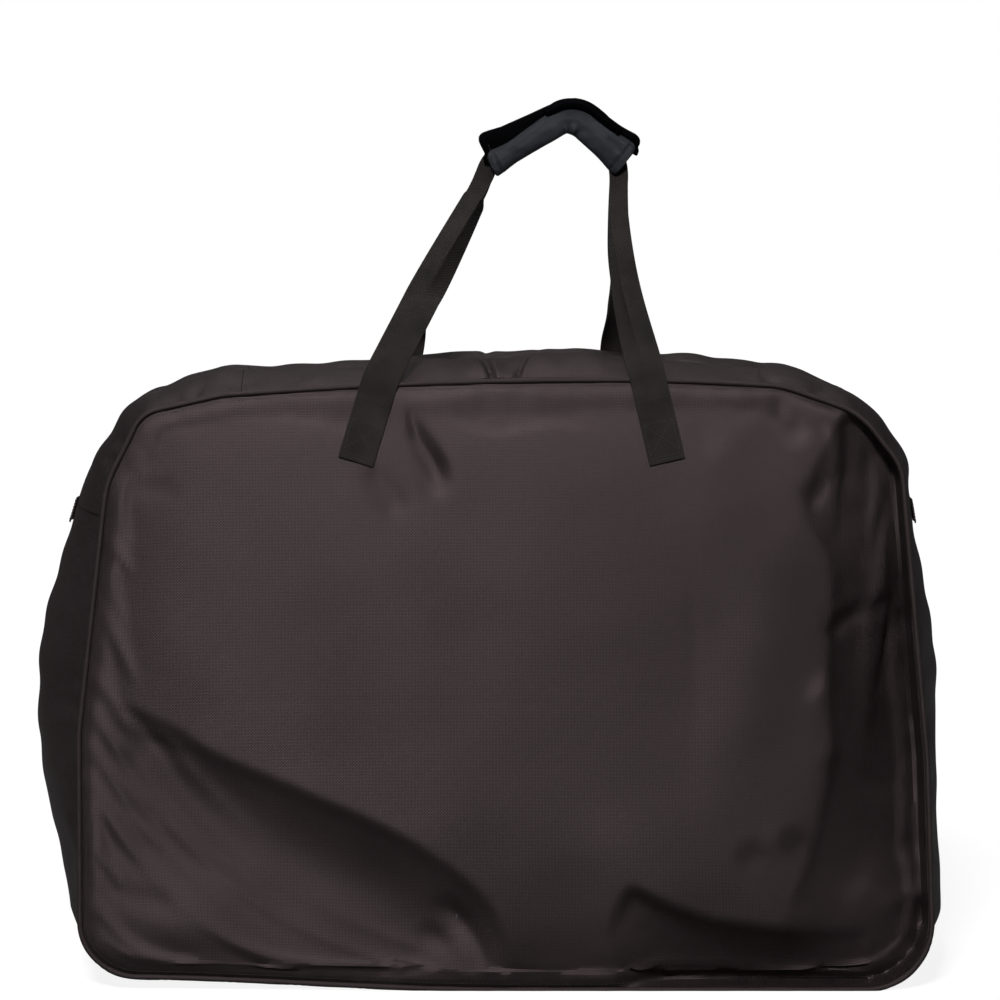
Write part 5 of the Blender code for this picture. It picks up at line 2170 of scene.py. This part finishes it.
        # The rows' ends, as distances from the strap's end and from its middle.
        segments = (
            ((0.0035, -edge), (0.0035, edge)),
            ((0.0070, -edge), (0.0070, edge)),
            ((0.0105, -edge), (0.0430, -edge)),
            ((0.0430, -edge), (0.0430, edge)),
            ((0.0430, edge), (0.0105, edge)),
            ((0.0105, -edge), (0.0430, edge)),
            ((0.0105, edge), (0.0430, -edge)),
            ((0.0680, -edge), (0.0680, edge)),
        )
        spots, ways = [], []
        for start, end in segments:
            a, b = np.array(start), np.array(end)
            count = int(np.linalg.norm(b - a) / STITCH_PITCH)
            reach, across = (a + (b - a) * (np.arange(count)[:, None] + 0.5) / count).T
            step = (b - a) / np.linalg.norm(b - a) * 0.001
            spots.append(at(reach, across))
            ways.append(at(reach + step[0], across + step[1]) - spots[-1])
        centres = np.vstack(spots) + np.array((0, side.value * (self.thickness / 2 + OVER_CLOTH), 0))
        name = f"{side.word}_strap_stitches_{word}"
        Stitches.set(name, centres, np.vstack(ways), Vector((0, side.value, 0)), finishes, Body.BAG)


@dataclass
class GripWrap:
    """The padded wrap that holds both handles together, closed by two tabs at the rear."""

    form: BagForm
    handles: Handles
    end_height: float = 0.044
    apex_height: float = 0.035
    front: float = 0.0116
    rear: float = 0.0065
    wall: float = 0.0050
    top_corner: float = 0.0100
    low_corner: float = 0.0030
    tab_corner: float = 0.006
    fold_radius: float = 0.0060
    bend_radius: float = 0.022
    hem: float = 0.0075
    girth: float = 0.115

    def __post_init__(self) -> None:
        """Draws the line that the wrap follows."""
        grip = self.handles.grip
        marks = (self.handles.WRAP_LEFT, self.handles.APEX, self.handles.WRAP_RIGHT)
        corners = [Vector(grip(*mark)) for mark in marks]
        coming = (corners[1] - corners[0]).normalized()
        going = (corners[2] - corners[1]).normalized()
        turn = math.acos(coming.dot(going))
        back = self.bend_radius * math.tan(turn / 2)
        rows = [corners[0]]
        hub = corners[1] - coming * back + self.bend_radius * Vector((coming.y, -coming.x))
        normal = Vector((-coming.y, coming.x))
        for k in range(13):
            cos, sin = math.cos(-turn * k / 12), math.sin(-turn * k / 12)
            spun = Vector((normal.x * cos - normal.y * sin, normal.x * sin + normal.y * cos))
            rows.append(hub + spun * self.bend_radius)
        rows.append(corners[2])
        line = np.array([tuple(p) for p in rows])
        runs = flat_runs(line)
        self.length = float(runs[-1])
        self.apex_run = float(runs[7])
        even = np.linspace(0, self.length, 400)
        self.even = even
        self.line = resampled(line, runs, even)
        leftward = np.clip((self.apex_run - even) / self.apex_run, 0, 1)[:, None]
        rightward = np.clip((even - self.apex_run) / (self.length - self.apex_run), 0, 1)[:, None]
        self.line = self.line + leftward * np.array((-0.0045, 0.0050)) + rightward * np.array((0.0075, 0.0))
        tangent = np.gradient(self.line, axis=0)
        soften(tangent, 24)
        tangent = unit(tangent)
        self.up = np.stack((-tangent[:, 1], tangent[:, 0]), axis=-1)

    def half_height(self, run: Array) -> Array:
        """Half the wrap's height at a run."""
        share = np.abs(run / self.length - 0.5) * 2
        return (self.apex_height + (self.end_height - self.apex_height) * share) / 2

    def flare(self, run: Array) -> Array:
        """How much further the cover's soft ends open than its firm middle."""
        end = np.minimum(run, self.length - run)
        return 0.0030 * (1 - smooth(0.0, 0.030, end))

    @staticmethod
    def corner_trim(end: Array, radius: float) -> Array:
        """How much a rounded corner takes off the height at a distance from the end."""
        short = np.clip(radius - end, 0, radius)
        return radius - np.sqrt(np.maximum(radius**2 - short**2, 0))

    def band(self, run: Array) -> Array:
        """Depth of the stripe of painted shade along the cover's top, down to its crease, widest at its left
        end.

        Args:
            run: Lengths along the grip.

        Returns:
            The depth there.
        """
        left = 0.0065 + 0.0150 * (1 - smooth(0.0, self.apex_run, run))
        right = 0.0060 + 0.0040 * smooth(self.apex_run, self.length, run)
        return np.where(run < self.apex_run, left, right)

    def section_point(self, run: Array, y: Array, height: Array) -> Array:
        """Points beside the grip's line: y across the bag, height square to the line.

        Args:
            run: Lengths along the grip.
            y: Distances from the middle plane.
            height: Distances from the line.

        Returns:
            The points, with a last axis of 3.
        """
        x = np.interp(run, self.even, self.line[:, 0])
        z = np.interp(run, self.even, self.line[:, 1])
        ux = np.interp(run, self.even, self.up[:, 0])
        uz = np.interp(run, self.even, self.up[:, 1])
        return np.stack((x + ux * height, y + 0 * x, z + uz * height), axis=-1)

    def build(self, finishes: Finishes) -> None:
        """Makes the cover with its hems, the loop strip and the tabs.

        Args:
            finishes: Gives the finishes of cover, strips and thread.
        """
        self.build_cover(finishes)
        self.build_tab("left", (0.002, self.apex_run - 0.012), Body.TAB_LEFT, finishes)
        self.build_tab("right", (self.apex_run + 0.012, self.length - 0.002), Body.TAB_RIGHT, finishes)
        ends = (0.001, self.length - 0.001)
        self.build_strip("wrap_loop_tape", ends, 0.0074, Body.HANDLE_FRONT, "wrap_loop_strip", finishes)

    def profile(self, run: Array, share: Array) -> tuple[Array, Array]:
        """The cover's open C, from the top of its rear edge round the front to the lip at the rear.

        Args:
            run: Length along the grip.
            share: From 0 at the top rear edge to 1 at the lip.

        Returns:
            y and height of the cover's outside.
        """
        half = self.half_height(run) + self.flare(run)
        end = np.minimum(run, self.length - run)
        top = half - self.corner_trim(end, self.top_corner)
        low = -half + self.corner_trim(end, self.low_corner)
        bend = self.fold_radius
        fold = top - self.band(run)
        stops = [
            (self.rear, top),
            (-self.front + bend, top),
            (-self.front + bend * 0.3, top - bend * 0.3),
            (-self.front, top - bend),
            (-self.front, fold + 0.003),
            (-self.front + 0.0012, fold),
            (-self.front - 0.0006, fold - 0.004),
            (-self.front - 0.0012, (fold + low) / 2),
            (-self.front, low + bend),
            (-self.front + bend * 0.3, low + bend * 0.3),
            (-self.front + bend, low),
            (self.rear, low),
            (self.rear + 0.0002, low + 0.003),
            (self.rear, -0.0108 + 0 * half),
        ]
        ys = np.stack([np.broadcast_to(np.asarray(y, float), half.shape) for y, _ in stops])
        hs = np.stack([np.broadcast_to(h, half.shape) for _, h in stops])
        marks = np.linspace(0, 1, len(stops))
        y = np.zeros(half.shape)
        h = np.zeros(half.shape)
        for k in range(len(stops) - 1):
            inside = (share >= marks[k]) & (share <= marks[k + 1])
            t = (share - marks[k]) / (marks[k + 1] - marks[k])
            y = np.where(inside, ys[k] + (ys[k + 1] - ys[k]) * t, y)
            h = np.where(inside, hs[k] + (hs[k + 1] - hs[k]) * t, h)
        return y, h

    def build_cover(self, finishes: Finishes) -> None:
        """The padded cover, puffed between its hems and creased where it bends.

        Args:
            finishes: Gives the finishes of cover and thread.
        """
        near_end = np.array([0.0, 0.0004, 0.0010, 0.0018, 0.0028])
        between = np.linspace(0.0040, self.length - 0.0040, 90)
        runs = np.concatenate((near_end, between, self.length - near_end[::-1]))
        shares = np.linspace(0, 1, 105)

        def place(run: Array, share: Array) -> Array:
            """The cover's points.

            Args:
                run: Length along the grip.
                share: From 0 at the top rear edge to 1 at the lip.

            Returns:
                The points, (rows, columns, 3).
            """
            y, height = self.profile(run, share)
            soften(y.T, 2)
            soften(height.T, 2)
            half = self.half_height(run)
            end = np.minimum(run, self.length - run)
            hem = smooth(0.0065, 0.0085, end)
            groove = 0.0009 * np.exp(-(((end - self.hem) / 0.0010) ** 2))
            bend = np.exp(-(((run - self.apex_run) / self.bend_radius) ** 2))
            under = smooth(0.1, 1.0, -height / half)
            crease = bend * under * 0.0016 * np.sin(2 * math.pi * run / 0.017)
            pinch = bend * 0.0020 * (1 - (height / half) ** 2)
            soft = Waves(44, 0.040).read(run, height) * 0.0006
            soft = soft + Waves(45, 0.016).read(run, height) * 0.00015
            front_face = smooth(0.0, 0.006, -y)
            swollen = (0.0008 * hem - groove + soft * hem + crease - pinch) * front_face
            height = height + (soft * 0.6 * hem - groove) * np.sign(height) * (1 - front_face)
            return self.section_point(run, y - swollen, height)

        obj = Bench.grid("grip_wrap_cover", runs, shares, place, cloth_of(self.girth))
        Bench.face_towards(obj, lambda centre: Vector((0, -1, 0)))
        # Marks the top above the crease for the painted shade.
        self.paint_band(obj)
        Bench.thicken(obj, self.wall)
        Bench.round_edges(obj, 0.0012, 3)
        Bench.smooth(obj)
        finishes.dress(obj, "wrap_fabric")
        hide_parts("wrap_cover", "wrap_foam")
        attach(obj, Body.HANDLE_FRONT.value)
        for run in (self.hem, self.length - self.hem):
            self.stitch_hem(run, finishes)

    def paint_band(self, obj: bpy.types.Object) -> None:
        """Marks the cover's top above its crease, which its material paints near black as shade, in an
        attribute of the mesh.

        Args:
            obj: The cover.
        """
        places = np.zeros(len(obj.data.loops) * 2)
        obj.data.uv_layers[UV_MAP].data.foreach_get("uv", places)
        corners = np.zeros(len(obj.data.loops), int)
        obj.data.loops.foreach_get("vertex_index", corners)
        around = np.zeros(len(obj.data.vertices))
        around[corners] = places[1::2] / self.girth
        # From the top rear edge over the top and down the front to the crease, the cover is marked for
        # painted shade.
        attribute = obj.data.attributes.new(SHADE_BAND_MARK, "FLOAT", "POINT")
        attribute.data.foreach_set("value", 1 - smooth(4.55 / 13, 4.95 / 13, around))

    def stitch_hem(self, run: float, finishes: Finishes) -> None:
        """The row of stitches across the cover beside one of its ends.

        Args:
            run: Where the row is, along the grip.
            finishes: Gives the thread's finish.
        """
        half = float(self.half_height(np.array(run)))
        heights = np.arange(-half + 0.006, half - 0.010, STITCH_PITCH)
        y = np.full(heights.shape, -self.front - 0.0002)
        centres = self.section_point(np.full(heights.shape, run), y, heights)
        along = centres[1] - centres[0]
        word = "left" if run < self.length / 2 else "right"
        out = Vector((0, -1, 0))
        Stitches.set(f"grip_wrap_hem_{word}", centres, along, out, finishes, Body.HANDLE_FRONT)

    def build_tab(self, word: str, ends: tuple[float, float], body: Body, finishes: Finishes) -> None:
        """One closing tab with rounded corners and its hook strip.

        Args:
            word: Left or right.
            ends: Where it starts and ends along the grip.
            body: Its body.
            finishes: Gives the finishes of cover and strip.
        """
        runs = np.linspace(*ends, 41)
        shares = np.linspace(-1, 1, 25)

        def place(run: Array, share: Array) -> Array:
            """The tab's points, closed against the cover near its upper edge.

            Args:
                run: Length along the grip.
                share: From -1 at its lower edge to 1 at its upper one.

            Returns:
                The points, (rows, columns, 3).
            """
            half = self.half_height(run)
            end = np.minimum(run - ends[0], ends[1] - run)
            low = -half + self.corner_trim(end, self.tab_corner)
            height = low + (half - low) * (share + 1) / 2
            soft = Waves(51, 0.03).read(run, height) * 0.0003
            closed = 0.0028 * smooth(0.72, 0.98, share)
            return self.section_point(run, 0.0110 + soft - closed, height)

        obj = Bench.grid(f"grip_tab_{word}", runs, shares, place, cloth_of(0.02))
        Bench.thicken(obj, 0.0023, Vector((0, 1, 0)))
        Bench.round_edges(obj, 0.0005, 2)
        Bench.smooth(obj)
        finishes.dress(obj, "wrap_fabric")
        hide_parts(f"wrap_tab_{word}")
        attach(obj, body.value)
        self.build_strip(f"grip_hook_tape_{word}", ends, 0.0087, body, f"wrap_hook_{word}", finishes)

    def build_strip(
        self, name: str, ends: tuple[float, float], y: float, body: Body, node: str, finishes: Finishes
    ) -> None:
        """A strip of hook or loop tape along the wrap.

        Args:
            name: Its name.
            ends: Where it starts and ends along the grip.
            y: Its distance from the middle plane.
            body: The body that it rides on.
            node: The CAD node that it replaces.
            finishes: Gives its finish.
        """
        runs = np.linspace(*ends, 41)
        shares = np.linspace(0, 1, 7)

        def place(run: Array, share: Array) -> Array:
            """The strip's points, from its lower edge at share 0 to its upper one at 1."""
            low = -self.half_height(run) + 0.0022
            return self.section_point(run, y + 0 * run, low + (-0.0120 - low) * share)

        obj = Bench.grid(name, runs, shares, place, cloth_of(0.01))
        Bench.thicken(obj, 0.0010, Vector((0, 1, 0)))
        Bench.smooth(obj)
        finishes.dress(obj, "hook_and_loop")
        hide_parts(node)
        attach(obj, body.value)


@dataclass
class ZipDetails:
    """The zip: tapes, rows of teeth, the closed stretches down the sides, end tabs, sliders and pulls."""

    form: BagForm
    gusset: GussetCloth
    tape_depth: float = 0.0019
    tape_thickness: float = 0.0007
    split: float = 0.0006
    tooth_pitch: float = 0.0019
    tooth_reach: float = 0.0034
    tab_length: float = 0.026
    tab_width: float = 0.034

    def build(self, finishes: Finishes) -> None:
        """Makes the zip's cloth and teeth and dresses its metal.

        Args:
            finishes: Gives the finishes of tape, teeth, tabs, thread and metal.
        """
        form = self.form
        mouth = (form.right_mouth, form.left_mouth)
        for side, body in ((Side.FRONT, Body.MOUTH_FRONT), (Side.REAR, Body.MOUTH_REAR)):
            self.build_tape(f"zip_tape_{side.word}", mouth, (side,), body, finishes)
            self.build_teeth(f"zip_coil_{side.word}", mouth, (side,), body, finishes)
        left, right = (form.left_mouth, form.left_zip_end), (form.right_zip_end, form.right_mouth)
        for word, ends in (("left", left), ("right", right)):
            self.build_tape(f"zip_{word}_end", ends, tuple(Side), Body.BAG, finishes)
            self.build_teeth(f"zip_{word}_end", ends, tuple(Side), Body.BAG, finishes)
            self.build_tab(word, ends[1] if word == "left" else ends[0], finishes)
        for name in ("zip_slider_left", "zip_slider_right", "zip_pull_left", "zip_pull_right"):
            finishes.dress_node(bpy.data.objects[name], "zip_metal")

    def build_tape(
        self, node: str, ends: tuple[float, float], sides: tuple[Side, ...], body: Body, finishes: Finishes
    ) -> None:
        """One woven tape, or the two of a closed stretch as one.

        Args:
            node: The CAD node that it replaces.
            ends: Its first and last run.
            sides: The sides that it lies on.
            body: The body that it rides on.
            finishes: Gives its finish.
        """
        low = self.split if sides == (Side.REAR,) else -self.form.tape_width
        high = -self.split if sides == (Side.FRONT,) else self.form.tape_width
        edges, sunk = (level(low), level(high)), level(-self.tape_depth)
        obj = self.gusset.strip(f"{node}_cloth", ends, edges, 13, sunk, self.tape_thickness)
        finishes.dress(obj, "zip_tape")
        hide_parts(node)
        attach(obj, body.value)
        if body is not Body.BAG:
            self.gusset.flatten_open(obj, sides[0])

    def build_teeth(
        self, node: str, ends: tuple[float, float], sides: tuple[Side, ...], body: Body, finishes: Finishes
    ) -> None:
        """The coil's teeth, which reach across the split in turns.

        Args:
            node: The CAD node that they replace.
            ends: The stretch's first and last run.
            sides: The sides that they stand on.
            body: The body that they ride on.
            finishes: Gives their finish.
        """
        start, end = ends
        if end < start:
            end += self.form.seam.length
        for side in sides:
            shift = self.tooth_pitch / 2 if side is Side.REAR else 0.0
            runs = np.arange(start + self.tooth_pitch + shift, end - self.tooth_pitch, self.tooth_pitch)
            y = np.full(runs.shape, side.value * (self.split + self.tooth_reach / 2))
            _, _, nx, nz = self.form.seam.at(runs)
            centres = self.form.gusset_point(runs, y, np.full(runs.shape, -0.0006))
            facing = np.stack((nx, 0 * nx, nz), axis=-1)
            size = (self.tooth_reach, 0.0013, 0.0022)
            name = f"{node}_teeth_{side.word}"
            obj = Stitches.set(name, centres, Vector((0, 1, 0)), facing, finishes, body, size, "zip_coil")
            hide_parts(node)
            if body is not Body.BAG:
                self.gusset.flatten_open(obj, side)

    def build_tab(self, word: str, run: float, finishes: Finishes) -> None:
        """The fabric tab over one end of the zip, with a row of stitches round it.

        Args:
            word: Left or right.
            run: Where the zip ends.
            finishes: Gives the finishes of cloth and thread.
        """
        half_run, half_y = self.tab_length / 2, self.tab_width / 2
        away = -1 if word == "right" else 1
        middle = run + away * (half_run - 0.0055)
        ends = (middle - half_run, middle + half_run)

        def lift(at: Array, y: Array) -> Array:
            """How far the tab stands out, over the strips' wrinkles."""
            return self.gusset.unevenness(at, y) * self.gusset.calm(y) + 0.0032

        edges = (level(-half_y), level(half_y))
        obj = self.gusset.strip(f"zip_end_patch_{word}", ends, edges, 21, lift, 0.0014)
        finishes.dress(obj, "shell_fabric")
        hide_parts(f"zip_end_tab_{word}")
        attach(obj, Body.BAG.value)
        inset = 0.003
        first, last = ends[0] + inset, ends[1] - inset
        low, high = -half_y + inset, half_y - inset
        across = np.arange(low, high, STITCH_PITCH)
        down = np.arange(first, last, STITCH_PITCH)
        runs = np.concatenate((np.full(across.shape, first), np.full(across.shape, last), down, down))
        ys = np.concatenate((across, across, np.full(down.shape, low), np.full(down.shape, high)))
        _, _, nx, nz = self.form.seam.at(runs)
        facing = np.stack((nx, 0 * nx, nz), axis=-1)
        sideways = np.tile([0.0, 1.0, 0.0], (2 * len(across), 1))
        steep = np.stack((-nz, 0 * nz, nx), axis=-1)[2 * len(across) :]
        centres = self.form.gusset_point(runs, ys, lift(runs, ys) + OVER_CLOTH)
        along = np.vstack((sideways, steep))
        Stitches.set(f"zip_end_stitches_{word}", centres, along, facing, finishes, Body.BAG)


@dataclass
class Studio:
    """A plain pale floor, soft lamps and the camera at the photograph's angle.

    Attributes:
        pixel: Metres that one of the picture's 1000 columns shows at the target.
        distance: From the camera to the target.
        elevation: Of the camera above the target, as an angle.
        target: What the camera looks at.
        ambient: Light from all round.
    """

    pixel: float = 0.00104
    distance: float = 4.2
    elevation: float = math.radians(5.5)
    target: tuple[float, float, float] = (0.0083, -0.115, 0.5158)
    ambient: float = 0.025

    def build(self) -> None:
        """Makes the stage."""
        self.build_floor()
        self.build_lamps()
        self.build_camera()
        bpy.context.scene.view_settings.view_transform = "Standard"

    def build_floor(self) -> None:
        """A pale floor that keeps the bag's shadow and looks white to the camera and in reflections."""
        Bench.clear_selection()
        bpy.ops.mesh.primitive_plane_add(size=60, location=(0, 0, -0.0005))
        floor = bpy.context.object
        floor.name = "studio_floor"
        material = bpy.data.materials.new("studio_floor_look")
        sheet = NodeSheet(material)
        place = sheet.add("ShaderNodeTexCoord").outputs["Object"]
        reach = sheet.add("ShaderNodeVectorMath", operation="LENGTH")
        sheet.join(place, reach.inputs[0])
        glow = sheet.ramp(reach.outputs["Value"], 0.8, 4.0, 0.88, 1.0)
        sheet.feed(
            {
                "Base Color": (0.15, 0.15, 0.15, 1),
                "Roughness": 0.95,
                "Specular IOR Level": 0.0,
                "Emission Color": (1, 1, 1, 1),
                "Emission Strength": sheet.math("MULTIPLY", self.seen(sheet, place, 0.3, 0.6), glow),
            }
        )
        floor.data.materials.append(material)

    @staticmethod
    def seen(sheet: NodeSheet, place: bpy.types.NodeSocket, near: float, far: float) -> bpy.types.NodeSocket:
        """1 for what the camera sees, a little for reflections of what lies behind the bag, 0 for the rest.

        Args:
            sheet: The nodes that need it.
            place: The place or direction that a ray meets.
            near: The Y at which reflections start to show the backdrop.
            far: The Y from which they show all that they do.

        Returns:
            The output that gives it.
        """
        path = sheet.add("ShaderNodeLightPath")
        behind = sheet.ramp(sheet.split(place)[1], near, far, 0.0, 0.05)
        mirrored = sheet.math("MAXIMUM", path.outputs["Is Glossy Ray"], path.outputs["Is Transmission Ray"])
        return sheet.math("MAXIMUM", path.outputs["Is Camera Ray"], sheet.math("MULTIPLY", mirrored, behind))

    def build_lamps(self) -> None:
        """A key lamp from the upper left, a weak fill from the right and a lamp above."""
        lamps = (
            ("key", (-1.05, -6.7, 6.1), 1.4, 970.0),
            ("fill", (1.6, -3.6, 1.6), 2.0, 0.8),
            ("above", (-0.2, 0.5, 3.2), 1.6, 24.0),
        )
        for name, place, size, power in lamps:
            Bench.clear_selection()
            bpy.ops.object.light_add(type="AREA", location=place)
            lamp = bpy.context.object
            lamp.name = f"studio_{name}"
            lamp.data.energy = power
            lamp.data.size = size
            aim = Vector((0, 0, 0.4)) - Vector(place)
            lamp.rotation_euler = aim.to_track_quat("-Z", "Y").to_euler()
        world = bpy.data.worlds.new("studio_world")
        sheet = NodeSheet(world, "Background")
        bpy.context.scene.world = world
        direction = sheet.add("ShaderNodeTexCoord").outputs["Generated"]
        strength = sheet.ramp(self.seen(sheet, direction, 0.0, 0.3), 0.0, 1.0, self.ambient, 1.0)
        sheet.feed({"Strength": strength, "Color": (1, 1, 1, 1)})

    def build_camera(self) -> None:
        """The camera in front of the bag, a little above the middle of the picture."""
        Bench.clear_selection()
        target = Vector(self.target)
        back = Vector((0, -math.cos(self.elevation), math.sin(self.elevation)))
        bpy.ops.object.camera_add(location=target + back * self.distance)
        camera = bpy.context.object
        camera.name = "studio_camera"
        camera.rotation_euler = (-back).to_track_quat("-Z", "Y").to_euler()
        camera.data.sensor_width = 36.0
        camera.data.lens = 36.0 * self.distance / (1000 * self.pixel)
        camera.data.clip_end = 60.0
        bpy.context.scene.camera = camera


def main() -> None:
    """Builds the bag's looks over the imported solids."""
    logging.basicConfig(level=logging.INFO, format="%(name)s: %(message)s")
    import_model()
    finishes = Finishes()
    form = BagForm()
    Studio().build()
    panels = PanelCloth(form)
    panels.build(finishes)
    gusset = GussetCloth(form, panels)
    gusset.build(finishes)
    Seams(form, panels).build(finishes)
    handles = Handles(form, panels)
    handles.build(finishes)
    GripWrap(form, handles).build(finishes)
    ZipDetails(form, gusset).build(finishes)
    Bench.clear_selection()
    LOG.info("sizes written")


if __name__ == "__main__":
    main()
